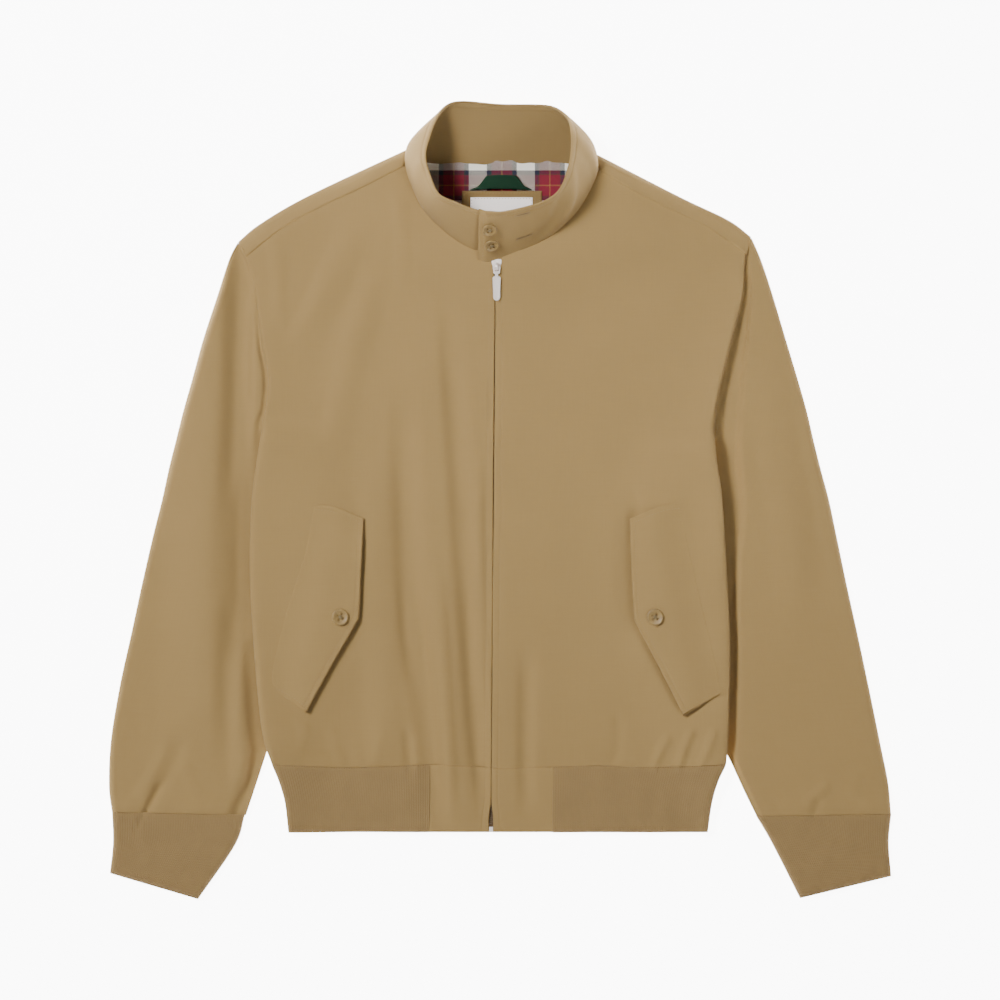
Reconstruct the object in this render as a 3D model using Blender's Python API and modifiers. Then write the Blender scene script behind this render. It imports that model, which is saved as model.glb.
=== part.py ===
"""Harrington jacket laid flat on its back, zip closed, sleeves at its sides.

The tables are in millimetres from the middle of the laid-out jacket: x towards
the wearer's left arm, y towards the collar, z up from the surface it lies on.
Every panel is a grid of points on its outer face, given a wall on its inner side.
"""
import math

import bmesh
import bpy
from mathutils import Vector
from mathutils.bvhtree import BVHTree

MM = 0.001

# Cloth and seams
WALL = 2.0
COLLAR_WALL = 3.0
TRIM_WALL = 0.8
SEAM = 0.35
EDGE_STRIP = 0.4
LAY = 0.3

# How the layers lie on each other
LAYERS = 7.0
FOLD = 7.0
FOLD_EDGE = 1.2
OVER_SLEEVE = 9.0
OVER_SLEEVE_LEAD = 44.0
OVER_SLEEVE_RUN = 38.0
UNDERARM_RUN = 30.0
ARMHOLE_RUN = 26.0
UNDERARM_PINCH = 2.0
UNDERARM_EASE = 2.2
SIDE_SEAM_EASE = 0.6
SIDE_SEAM_EASE_REACH = 40.0
SHOULDER_END_GAP = 2.7
PINCH_REACH = 45.0
PLACKET_RISE = 2.0
PLACKET_WIDTH = 26.0
PLACKET_FLAT = 12.0
NECK_RISE_BACK = 5.0
NECK_RISE_FRONT = 9.0
NECK_MIDDLE_Y = 300.0
NECK_HALF_WIDTH = 97.0
NECK_DEPTH = 60.0
YOKE_WRAP = 16.0

# Waistband and cuffs
BAND_TOP_Y = -266.0
BAND_BOTTOM_Y = -332.0
BAND_END_WIDTH = 62.0
RIB_WALL = 2.2

# Zip
ZIP_TOP_Y = 227.0
ZIP_BOTTOM_Y = -329.0
TAPE_WIDTH = 26.0
CHAIN_WIDTH = 5.0
CHAIN_HEIGHT = 1.4
OPEN_HALF_GAP = 6.3
SHUT_HALF_GAP = 0.6
BAND_HALF_GAP = 2.2
ZIP_BOX = (3.8, 5.2, 2.0)

# Slider and its pull
SLIDER_Y = 235.0
SLIDER_LENGTH = 11.0
SLIDER_WIDTH = 10.0
SLIDER_PLATE = 1.4
SLIDER_SPACE = 1.4
SLIDER_WEDGE = 4.0
BAIL_WIDTH = 2.6
BAIL_LENGTH = 8.0
BAIL_HOLE = 3.3
BAIL_WALL = 1.4
PIVOT_SETBACK = 2.0
PULL_LIFT = 1.2
PULL_PIN = 1.5
PULL_EYE = 3.4
PULL_EYE_LENGTH = 3.95
PULL_WIDTH = 8.0
PULL_LENGTH = 25.0
PULL_NECK = 9.5
PULL_THICK = 1.5
PULL_DROOP = 11.0

# Neck inside
LABEL_WALL = 0.6
LOOP_WIDTH = 13.0
LOOP_RISE = 2.4

# Buttons
COLLAR_BUTTON = 15.0
FLAP_BUTTON = 17.0
BUTTON_HEIGHT = 2.6

SIGN = {"right": -1.0, "left": 1.0}

# Sleeve sections from the shoulder point to the cuff seam. Down to the underarm
# the inner end is on the armhole seam; below it is the fold that lies under the body.
# Columns: outer x, outer y, inner x, inner y.
SLEEVE_SECTIONS = {
    "right": [
        (-262.0, 258.0, -258.5, 252.0),
        (-271.0, 240.0, -250.0, 232.0),
        (-282.0, 206.0, -244.0, 203.0),
        (-297.0, 160.0, -238.0, 157.0),
        (-308.0, 120.0, -232.0, 124.0),
        (-317.0, 88.0, -234.0, 92.0),
        (-324.0, 60.0, -238.0, 70.0),
        (-331.0, 32.0, -222.0, 40.0),
        (-338.0, 0.0, -200.0, 5.0),
        (-347.0, -36.0, -187.0, -40.0),
        (-358.0, -84.0, -186.0, -90.0),
        (-369.0, -135.0, -198.0, -142.0),
        (-380.0, -185.0, -215.0, -192.0),
        (-389.0, -240.0, -232.0, -245.0),
        (-391.0, -285.0, -246.0, -288.0),
        (-388.0, -312.0, -255.0, -315.0),
    ],
    "left": [
        (251.0, 263.0, 249.4, 256.2),
        (261.0, 240.0, 245.0, 232.0),
        (272.0, 207.0, 243.0, 203.0),
        (286.0, 160.0, 233.0, 163.0),
        (298.0, 120.0, 224.0, 128.0),
        (307.0, 88.0, 217.0, 95.0),
        (314.0, 58.0, 214.0, 66.0),
        (321.0, 30.0, 200.0, 36.0),
        (329.0, 0.0, 184.0, 2.0),
        (337.0, -38.0, 176.0, -42.0),
        (347.0, -86.0, 176.0, -92.0),
        (358.0, -136.0, 188.0, -143.0),
        (369.0, -188.0, 205.0, -194.0),
        (380.0, -242.0, 224.0, -246.0),
        (388.0, -282.0, 241.0, -285.0),
        (391.0, -314.0, 256.0, -316.0),
    ],
}
UNDERARM = 6
CUFF_SEAM = 15

# Cuff sections below the cuff seam, same columns.
CUFF_SECTIONS = {
    "right": [
        (-388.0, -312.6, -255.4, -315.6),
        (-387.0, -342.0, -265.0, -345.0),
        (-390.0, -373.0, -302.0, -399.0),
    ],
    "left": [
        (391.0, -314.7, 256.4, -316.7),
        (388.5, -342.0, 272.0, -343.0),
        (391.0, -376.0, 300.0, -398.0),
    ],
}

# Side seam of the body from the hem seam up to the underarm: x, y.
SIDE_SEAM = {
    "right": [
        (-228.0, -264.0), (-238.0, -238.0), (-244.0, -200.0), (-248.0, -140.0),
        (-250.0, -70.0), (-248.0, 0.0), (-243.0, 40.0), (-238.0, 70.0),
    ],
    "left": [
        (226.0, -264.0), (228.0, -238.0), (229.0, -200.0), (230.0, -150.0),
        (228.0, -100.0), (222.0, 0.0), (217.0, 36.0), (214.0, 66.0),
    ],
}

# Outline of the shoulder from the shoulder point to the neck: x, y.
SHOULDER = {
    "right": [(-262.0, 258.0), (-240.0, 276.0), (-192.0, 304.0), (-96.0, 349.0)],
    "left": [(251.0, 263.0), (228.0, 280.0), (180.0, 303.0), (98.0, 345.0)],
}

# Front neck seam from the end of the forward shoulder seam to the zip: x, y.
FRONT_NECK = {
    "right": [(-97.0, 333.0), (-90.0, 314.0), (-80.0, 291.0), (-62.0, 270.0),
              (-40.0, 255.0), (-22.0, 244.5), (-10.0, 241.0)],
    "left": [(100.0, 329.0), (93.0, 312.0), (83.0, 292.0), (64.0, 271.0),
             (40.0, 254.5), (20.0, 247.0), (3.0, 242.0)],
}

# Back neck seam, from shoulder to shoulder: x, y.
BACK_NECK = [(-89.5, 344.5), (-70.0, 339.0), (-40.0, 337.0), (0.0, 337.0),
             (40.0, 337.0), (70.0, 338.0), (91.5, 341.0)]

# Side edges of the waistband, top to bottom: x, y.
BAND_SIDE = {
    "right": [(-228.0, -264.0), (-221.0, -280.0), (-215.0, -300.0), (-211.5, -331.0)],
    "left": [(226.0, -264.0), (218.0, -280.0), (212.0, -300.0), (207.5, -331.0)],
}

# Line of the zip, bottom to top: y, x.
ZIP_LINE = [(-332.0, -9.0), (-60.0, -7.0), (197.0, -4.8), (245.0, -3.0)]

# Largest creases of the fronts. Columns: start x, start y, end x, end y,
# half width, height (a trough is negative).
FRONT_CREASES = [
    (-54.0, 143.0, -31.0, -262.0, 17.0, -1.6),
    (-101.0, 54.0, -82.0, -262.0, 24.0, -1.6),
    (-79.0, -40.0, -58.0, -200.0, 18.0, 3.0),
    (-25.0, 20.0, -27.0, -240.0, 16.0, 2.0),
    (24.0, -130.0, 23.0, -262.0, 16.0, -1.6),
    (60.0, 60.0, 44.0, -240.0, 26.0, 2.0),
    (-205.0, 190.0, -110.0, 60.0, 28.0, 3.0),
    (-150.0, 230.0, -75.0, 110.0, 22.0, 2.0),
    (42.0, 232.0, 236.0, 240.0, 18.0, 2.0),
    (200.0, 170.0, 120.0, 60.0, 28.0, 2.0),
    (150.0, -190.0, 200.0, -150.0, 16.0, 2.5),
]

# Creases of the sleeves, same columns.
SLEEVE_CREASES = {
    "right": [
        (-272.0, 200.0, -262.0, -190.0, 20.0, -1.5),
        (-300.0, 60.0, -330.0, -180.0, 28.0, 2.0),
        (-315.0, -215.0, -353.0, -300.0, 16.0, -1.5),
        (-330.0, -225.0, -368.0, -300.0, 16.0, 2.5),
    ],
    "left": [
        (262.0, 150.0, 300.0, -160.0, 28.0, 2.0),
        (330.0, -270.0, 300.0, -305.0, 14.0, 2.0),
    ],
}

# Collar sections from the right end, which lies under, round the back of the
# neck to the left end, which laps over it. Outer face.
# Columns: seam x, y, z, top edge x, y, z, swell.
COLLAR_SECTIONS = [
    (8.0, 248.6, 14.4, 8.0, 290.3, 55.8, 0.0),
    (-12.0, 245.8, 14.6, -11.5, 290.0, 55.6, 0.0),
    (-30.0, 250.6, 14.6, -28.0, 291.5, 56.0, 0.5),
    (-50.5, 263.6, 13.0, -44.0, 296.0, 57.0, 1.5),
    (-75.0, 287.0, 11.6, -62.0, 305.0, 57.0, 3.0),
    (-88.5, 313.5, 10.4, -72.0, 328.0, 54.0, 4.0),
    (-95.0, 334.0, 9.0, -74.5, 345.0, 49.0, 5.0),
    (-94.0, 346.8, 5.6, -70.0, 363.0, 42.0, 8.0),
    (-85.0, 344.6, 2.4, -63.0, 382.0, 30.0, 8.0),
    (-68.0, 339.8, 0.8, -53.0, 395.5, 17.0, 4.0),
    (-40.0, 337.8, 0.5, -36.0, 399.0, 9.0, 0.0),
    (0.0, 337.8, 0.5, 0.0, 396.0, 8.0, 0.0),
    (40.0, 337.8, 0.5, 40.0, 395.5, 8.0, 0.0),
    (68.0, 338.8, 0.8, 56.0, 392.5, 15.0, 3.0),
    (86.0, 341.4, 2.4, 67.0, 383.0, 27.0, 7.0),
    (96.0, 342.8, 5.6, 71.0, 369.0, 40.0, 8.0),
    (98.5, 330.0, 9.0, 71.5, 350.0, 48.0, 6.0),
    (91.5, 311.5, 10.4, 68.0, 330.0, 54.0, 4.0),
    (76.0, 286.0, 12.0, 60.0, 309.0, 58.0, 3.0),
    (53.0, 264.2, 14.0, 45.0, 297.0, 60.0, 2.0),
    (28.0, 251.4, 15.8, 24.0, 290.5, 60.0, 1.0),
    (5.0, 243.6, 17.8, 3.0, 286.5, 60.0, 0.0),
    (-9.0, 241.6, 20.8, -9.0, 286.5, 61.0, 0.0),
    (-22.0, 240.4, 21.6, -21.0, 286.8, 61.4, 0.0),
]
COLLAR_MIDDLE = (0.0, 292.0)

# Pocket flaps. Sewn edge and free edge, top to bottom: x, y.
FLAP_SEWN = {
    "right": [(-185.0, -4.0), (-195.0, -55.0), (-213.0, -112.0), (-226.0, -168.0), (-222.0, -192.0)],
    "left": [(179.7, -3.0), (187.0, -44.0), (204.0, -117.0), (215.6, -171.0), (219.6, -190.0)],
}
FLAP_FREE = {
    "right": [(-136.0, -17.5), (-138.0, -68.0), (-140.0, -120.0), (-166.0, -165.0), (-194.0, -210.0)],
    "left": [(129.6, -18.0), (132.0, -76.0), (136.0, -123.5), (160.0, -169.0), (184.0, -214.0)],
}
FLAP_BUTTON_PLACE = {"right": (-159.5, -117.0), "left": (155.0, -117.0)}
FLAP_LAY = 0.8
FLAP_LIFT = 2.4
FLAP_WALL = 2.2

# Colours of the stuffs, linear
SAND = (0.397, 0.279, 0.140)
SAND_RIB = (0.332, 0.220, 0.108)
SAND_SHADE = (0.298, 0.212, 0.098)
RED = (0.36, 0.02, 0.04)
GREEN = (0.02, 0.10, 0.06)
WHITE = (0.82, 0.80, 0.76)
HORN = (0.22, 0.16, 0.08)
NICKEL = (0.75, 0.74, 0.73)


# ---------------------------------------------------------------- small sums

def mix(a, b, t):
    return a + (b - a) * t


def ease(t):
    t = min(max(t, 0.0), 1.0)
    return t * t * (3.0 - 2.0 * t)


def arch(t):
    """Height of a rounded fold: 0 at its edge, 1 where the cloth lies flat."""
    t = min(max(t, 0.0), 1.0)
    return math.sqrt(t * (2.0 - t))


def along(points, t):
    """Smooth curve through the points; t counts them from 0."""
    last = len(points) - 1
    i = min(int(max(t, 0.0)), last - 1)
    f = t - i
    b, c = Vector(points[i]), Vector(points[i + 1])
    a = Vector(points[i - 1]) if i > 0 else b * 2.0 - c
    d = Vector(points[i + 2]) if i + 2 <= last else c * 2.0 - b
    return 0.5 * (2.0 * b + (c - a) * f + (2.0 * a - 5.0 * b + 4.0 * c - d) * f * f
                  + (3.0 * b - 3.0 * c + d - a) * f * f * f)


def at_share(points, share):
    """Point at a share of the curve's length, measured between its points."""
    lengths = [(Vector(b) - Vector(a)).length for a, b in zip(points, points[1:])]
    left = share * sum(lengths)
    for i, length in enumerate(lengths):
        if left <= length or i == len(lengths) - 1:
            return along(points, i + min(left / length, 1.0))
        left -= length


def spaced(points, steps, start=0.0, end=1.0):
    """Points at even shares of a curve, both ends included."""
    return [at_share(points, mix(start, end, k / steps)) for k in range(steps + 1)]


def x_at(points, y):
    """x where a run of points, ordered by falling y, crosses the height y."""
    for (x0, y0), (x1, y1) in zip(points, points[1:]):
        if y >= y1:
            return mix(x0, x1, min(max((y0 - y) / (y0 - y1), 0.0), 1.0))
    return points[-1][0]


def crease_height(creases, x, y):
    """Sum of soft ridges and troughs, each fading out at its two ends."""
    total = 0.0
    for x0, y0, x1, y1, half_width, height in creases:
        run = Vector((x1 - x0, y1 - y0))
        to_point = Vector((x - x0, y - y0))
        t = to_point.dot(run) / run.length_squared
        off = abs(to_point.cross(run)) / run.length / half_width
        if off < 1.0 and 0.0 < t < 1.0:
            total += height * (1.0 - off * off) ** 2 * ease(4.0 * t) * ease(4.0 * (1.0 - t))
    return total


# ------------------------------------------------------------ form of the body

INNER_SLEEVE_EDGE = {
    side: [tuple(along([row[2:] for row in rows[UNDERARM:]], k / 4.0))
           for k in range(4 * (CUFF_SEAM - UNDERARM) + 1)]
    for side, rows in SLEEVE_SECTIONS.items()
}
UNDERARM_Y = {side: rows[UNDERARM][3] for side, rows in SLEEVE_SECTIONS.items()}
OUTER_EDGE = {side: [tuple(p) for p in reversed(spaced(SIDE_SEAM[side], 24))] for side in SIGN}


def side_of(x):
    return "right" if x < 0.0 else "left"


def zip_x(y):
    for (y0, x0), (y1, x1) in zip(ZIP_LINE, ZIP_LINE[1:]):
        if y <= y1:
            return mix(x0, x1, max((y - y0) / (y1 - y0), 0.0))
    return ZIP_LINE[-1][1]


def rise_over_sleeve(x, y):
    """How far the back panel is lifted by the sleeve that lies under it."""
    side = side_of(x)
    inside = SIGN[side] * (x - x_at(INNER_SLEEVE_EDGE[side], y))
    below = ease((UNDERARM_Y[side] + 0.5 * UNDERARM_RUN - y) / UNDERARM_RUN)
    return OVER_SLEEVE * ease((inside + OVER_SLEEVE_LEAD) / OVER_SLEEVE_RUN) * below


def placket_rise(x, y):
    return PLACKET_RISE * (1.0 - ease((abs(x - zip_x(y)) - PLACKET_FLAT) / PLACKET_WIDTH))


def neck_rise(x, y):
    reach = math.hypot(x / NECK_HALF_WIDTH, (y - NECK_MIDDLE_Y) / NECK_DEPTH)
    height = mix(NECK_RISE_BACK, NECK_RISE_FRONT, ease((337.0 - y) / 90.0))
    return height * (1.0 - ease((reach - 1.0) / 1.1))


def layers(x, y):
    """Height of the fronts' outer face over the back's, without creases."""
    return LAYERS + placket_rise(x, y) + neck_rise(x, y)


def fold_share(x, y):
    """0 on the side seam, 1 where front and back lie flat."""
    side = side_of(x)
    inward = SIGN[side] * (x_at(OUTER_EDGE[side], y) - x)
    opened = ease((y - UNDERARM_Y[side]) / ARMHOLE_RUN)
    folded = mix(FOLD_EDGE / (0.5 * LAYERS), 1.0, arch(inward / FOLD))
    return mix(folded, 1.0, opened)


def front_z(x, y):
    low = rise_over_sleeve(x, y)
    half = 0.5 * layers(x, y)
    share = fold_share(x, y)
    return low + half + half * share + crease_height(FRONT_CREASES, x, y) * share


def seam_z(x, y):
    """Height of the side seam, midway between the two layers."""
    return rise_over_sleeve(x, y) + 0.5 * layers(x, y)


def half_seam(x, y):
    """Half the gap at the side seam, which eases a little where the armhole starts."""
    near = ease(1.0 - abs(y - UNDERARM_Y[side_of(x)]) / SIDE_SEAM_EASE_REACH)
    return 0.5 * SEAM + SIDE_SEAM_EASE * near


def back_z(x, y):
    low = rise_over_sleeve(x, y)
    half = 0.5 * layers(x, y)
    return low + half - half * fold_share(x, y)


# ------------------------------------------------------------------- builders

def material(name, colour, roughness=0.85, metallic=0.0):
    made = bpy.data.materials.new(name)
    made.use_nodes = True
    shader = made.node_tree.nodes["Principled BSDF"]
    shader.inputs["Base Color"].default_value = (*colour, 1.0)
    shader.inputs["Roughness"].default_value = roughness
    shader.inputs["Metallic"].default_value = metallic
    return made


def add_object(name, bm, stuff):
    mesh = bpy.data.meshes.new(name)
    bm.to_mesh(mesh)
    bm.free()
    mesh.shade_smooth()
    mesh.set_sharp_from_angle(angle=math.radians(50.0))
    made = bpy.data.objects.new(name, mesh)
    made.data.materials.append(stuff)
    JACKET.objects.link(made)
    return made


def sheet(name, grid, wall, stuff, up=None, dropped=None, closed=False):
    """Panel from rows of points on its outer face.

    up is the (row, column) of a cell that faces up; dropped tells the cells left
    out; closed welds the last column to the first.
    """
    rows, columns = len(grid), len(grid[0])
    bm = bmesh.new()
    bmesh.ops.create_grid(bm, x_segments=columns - 1, y_segments=rows - 1, size=1.0)
    bm.verts.ensure_lookup_table()
    bm.faces.ensure_lookup_table()
    for index, vert in enumerate(bm.verts):
        vert.co = Vector(grid[index // columns][index % columns]) * MM
    cell = up or (rows // 2, columns // 2)
    facing = bm.faces[cell[0] * (columns - 1) + cell[1]]
    facing.normal_update()
    if facing.normal.z < 0.0:
        bmesh.ops.reverse_faces(bm, faces=bm.faces[:])
    if dropped:
        spare = [f for k, f in enumerate(bm.faces) if dropped(k // (columns - 1), k % (columns - 1))]
        bmesh.ops.delete(bm, geom=spare, context="FACES")
    if closed:
        bmesh.ops.remove_doubles(bm, verts=bm.verts[:], dist=0.01 * MM)
    made = add_object(name, bm, stuff)
    shell = made.modifiers.new("Wall", "SOLIDIFY")
    shell.thickness = wall * MM
    shell.offset = -1.0
    shell.use_quality_normals = True
    return made


def face_of(made, outer=True):
    """Look-up of a built panel: height and facing direction of one of its faces at x, y."""
    tree = BVHTree.FromObject(made, bpy.context.evaluated_depsgraph_get())
    start = 1000.0 if outer else -10.0
    way = Vector((0.0, 0.0, -1.0 if outer else 1.0))

    def at(x, y):
        hit, normal, _, _ = tree.ray_cast(Vector((x, y, start)) * MM, way)
        return (hit.z / MM, normal) if hit else (math.inf, None)

    return at


def patch(left, right, bottom, top):
    """Plan points of a panel spanned by its four edges, rows from bottom to top."""
    def shares(run):
        steps = [0.0]
        for a, b in zip(run, run[1:]):
            steps.append(steps[-1] + (Vector(b) - Vector(a)).length)
        return [s / steps[-1] for s in steps]

    across = [0.5 * (a + b) for a, b in zip(shares(bottom), shares(top))]
    upward = [0.5 * (a + b) for a, b in zip(shares(left), shares(right))]
    corners = [Vector(left[0]), Vector(right[0]), Vector(left[-1]), Vector(right[-1])]
    grid = []
    for j, v in enumerate(upward):
        row = []
        for i, u in enumerate(across):
            ruled = (Vector(bottom[i]) * (1 - v) + Vector(top[i]) * v
                     + Vector(left[j]) * (1 - u) + Vector(right[j]) * u)
            corner = (corners[0] * (1 - u) * (1 - v) + corners[1] * u * (1 - v)
                      + corners[2] * (1 - u) * v + corners[3] * u * v)
            row.append(ruled - corner)
        grid.append(row)
    return grid


# ------------------------------------------------------------- outlines in use

SIDE_ROWS = 10
ARM_STEPS = [k / 2.0 for k in range(2 * UNDERARM, 0, -1)]
FOLD_TURNS = [0.0, 32.0, 62.0, 90.0]
EDGE_STEPS = [0.0, 0.0] + [FOLD * (1.0 - math.cos(math.radians(a))) for a in FOLD_TURNS[1:]]
SHOULDER_COLUMNS = 5
NECK_COLUMNS = 7


def armhole(side, t):
    return along([row[2:] for row in SLEEVE_SECTIONS[side]], t)


def forward_seam(side):
    """Seam that joins the front to the back's turned-over shoulder edge."""
    outline = SHOULDER[side]
    run = [armhole(side, 0.5)]
    for share in (0.25, 0.5, 0.75):
        here = at_share(outline, share)
        ahead = at_share(outline, share + 0.02) - at_share(outline, share - 0.02)
        inward = Vector((ahead.y, -ahead.x)).normalized()
        if inward.y > 0.0:
            inward = -inward
        run.append(here + inward * YOKE_WRAP)
    run.append(Vector(FRONT_NECK[side][0]))
    return run


def shoulder_point(side, column, depth):
    """Plan point a given depth in from the shoulder outline, towards the forward seam."""
    share = shoulder_share(side, column)
    start = at_share(SHOULDER[side], share)
    inward = at_share(forward_seam(side), share) - start
    return start + inward.normalized() * min(depth, inward.length)


def shoulder_share(side, column):
    """Share of the shoulder's length at a column: the edge columns, then even ones."""
    length = sum((Vector(b) - Vector(a)).length for a, b in zip(SHOULDER[side], SHOULDER[side][1:]))
    if column < len(EDGE_STEPS):
        return EDGE_STEPS[column] / length
    rest = (column - len(EDGE_STEPS) + 1) / SHOULDER_COLUMNS
    return mix(EDGE_STEPS[-1] / length, 1.0, rest)


def outer_boundary(side):
    """Side seam up to the underarm, then the armhole up to the forward seam."""
    seam = spaced(SIDE_SEAM[side], SIDE_ROWS)
    return seam[:-1] + [armhole(side, t) for t in ARM_STEPS]


LAST_SHOULDER_COLUMN = len(EDGE_STEPS) - 1 + SHOULDER_COLUMNS


# ---------------------------------------------------------------------- pieces

def half_gap(y):
    """Half the distance between the two fronts, which part round the slider."""
    return mix(SHUT_HALF_GAP, OPEN_HALF_GAP, ease((y - 190.0) / 34.0))


def build_front(side, cloth):
    sign = SIGN[side]
    outer = outer_boundary(side)
    steps = len(outer) - 1
    neck_end = Vector(FRONT_NECK[side][-1])
    bottom_y = BAND_TOP_Y + SEAM
    opening_ys = [195.0, 205.0, 215.0, 226.0]
    straight = [mix(bottom_y, 180.0, k / (steps - 5)) for k in range(steps - 4)]
    centre = [Vector((zip_x(y) + sign * half_gap(y), y)) for y in straight + opening_ys]
    centre.append(neck_end)
    seam = forward_seam(side)
    top = [at_share(seam, shoulder_share(side, c)) for c in range(LAST_SHOULDER_COLUMN + 1)]
    top += spaced(FRONT_NECK[side], NECK_COLUMNS)[1:]
    hem_left = Vector(outer[0])
    hem_right = centre[0]
    width = (hem_right - hem_left).length
    shares = [step / width for step in EDGE_STEPS]
    inner_steps = SHOULDER_COLUMNS + NECK_COLUMNS
    shares += [mix(shares[-1], 1.0, k / inner_steps) for k in range(1, inner_steps + 1)]
    bottom = [hem_left.lerp(hem_right, share) for share in shares]
    grid = []
    for j, row in enumerate(patch(outer, centre, bottom, top)):
        line = []
        for i, point in enumerate(row):
            z = front_z(point.x, point.y)
            if i == 0 and j <= SIDE_ROWS:
                z = seam_z(point.x, point.y) + half_seam(point.x, point.y)
            if i == 1 and j > SIDE_ROWS:
                point = point + Vector((-sign * EDGE_STRIP, 0.0))
            shift = SEAM if j == len(outer) - 1 and i <= LAST_SHOULDER_COLUMN else 0.0
            line.append((point.x, point.y - shift, z))
        grid.append(line)
    return sheet("front_" + side, grid, WALL, cloth)


def build_back(cloth):
    """Back panel, with its shoulder edges folded over onto the front of the jacket."""
    left, right = outer_boundary("right"), outer_boundary("left")
    columns = range(LAST_SHOULDER_COLUMN + 1)
    top = [shoulder_point("right", c, FOLD) for c in columns]
    top += spaced(BACK_NECK, NECK_COLUMNS)[1:-1]
    top += [shoulder_point("left", c, FOLD) for c in reversed(columns)]
    left.append(top[0])
    right.append(top[-1])
    hem_left, hem_right = Vector(left[0]), Vector(right[0])
    width = (hem_right - hem_left).length
    edge = [step / width for step in EDGE_STEPS]
    inner_steps = 2 * SHOULDER_COLUMNS + NECK_COLUMNS
    shares = edge[:-1]
    shares += [mix(edge[-1], 1.0 - edge[-1], k / inner_steps) for k in range(inner_steps + 1)]
    shares += [1.0 - e for e in reversed(edge[:-1])]
    bottom = [hem_left.lerp(hem_right, share) for share in shares]
    grid = []
    for j, row in enumerate(patch(left, right, bottom, top)):
        line = []
        for i, point in enumerate(row):
            z = back_z(point.x, point.y)
            edge_column = min(i, len(row) - 1 - i)
            if edge_column == 0 and j <= SIDE_ROWS:
                z = seam_z(point.x, point.y) - half_seam(point.x, point.y)
            if edge_column == 1 and j > SIDE_ROWS:
                point = point + Vector((EDGE_STRIP if i == 1 else -EDGE_STRIP, 0.0))
            line.append((point.x, point.y, z))
        grid.append(line)
    flat_rows = len(grid) - 1
    turns = [(a, -1.0) for a in reversed(FOLD_TURNS[:-1])] + [(a, 1.0) for a in FOLD_TURNS[1:]]
    depths = [(FOLD * (1.0 - math.cos(math.radians(a))), way * math.sin(math.radians(a)))
              for a, way in turns]
    depths += [(0.5 * (FOLD + YOKE_WRAP), 1.0), (2.0 * YOKE_WRAP, 1.0)]
    for depth, rise in depths:
        line = []
        for i in range(len(top)):
            c = min(i, len(top) - 1 - i)
            side = "right" if i < len(top) / 2 else "left"
            if c <= LAST_SHOULDER_COLUMN:
                point = shoulder_point(side, c, depth)
                if c == 1:
                    point = point - Vector((SIGN[side] * EDGE_STRIP, 0.0))
                half = 0.5 * layers(point.x, point.y)
                line.append((point.x, point.y, half + half * rise))
            else:
                line.append((top[i].x, top[i].y + depth, 0.0))
        grid.append(line)
    neck = range(LAST_SHOULDER_COLUMN, len(top) - 1 - LAST_SHOULDER_COLUMN)
    sheet("back", grid, WALL, cloth, up=(flat_rows + 6, 4),
          dropped=lambda j, i: j >= flat_rows and i in neck)


def section_line(outer, inner, gap, ends, plateau, edge_mid, creases=(), mouth=0.0, pinch=0.0):
    """One section of a sleeve or cuff, from its inner end over the top and back.

    ends holds the heights of the upper and lower layers at the inner end.
    """
    outer, inner = Vector(outer), Vector(inner)
    length = (outer - inner).length
    toward = (outer - inner) / length
    reach = min(FOLD, 0.45 * length)
    turned = [reach * (1.0 - math.cos(math.radians(a))) for a in FOLD_TURNS]
    flat = [mix(reach, length - reach, k / 4.0) for k in range(1, 4)]
    run = [turned[0]] + turned + flat + [length - d for d in reversed(turned)]
    line = []
    for k, s in enumerate(run):
        point = inner + toward * (s + gap * (1.0 - s / length))
        if k == 1 and not mouth:
            point = point + toward * EDGE_STRIP
        outer_share = arch((length - s) / FOLD)
        inner_share = arch(s / FOLD)
        level = plateau - pinch * (1.0 - ease(s / PINCH_REACH))
        high = mix(edge_mid, level, outer_share)
        high += crease_height(creases, point.x, point.y) * outer_share * inner_share
        z = mix(ends[0] + mouth, high, inner_share) if k else ends[0]
        line.append((point.x, point.y, z))
    flat = [mix(reach, length - reach, k / 3.0) for k in range(1, 3)]
    run = [turned[0]] + turned + flat + [length - d for d in reversed(turned[1:])]
    for k, s in enumerate(reversed(run)):
        point = inner + toward * (s + gap * (1.0 - s / length))
        second = k == len(run) - 2
        if second and not mouth:
            point = point + toward * EDGE_STRIP
        low = mix(edge_mid, 0.0, arch((length - s) / FOLD))
        z = mix(ends[1] - mouth, low, arch(s / FOLD)) if k < len(run) - 1 else ends[1]
        line.append((point.x, point.y, z))
    return line


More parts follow.
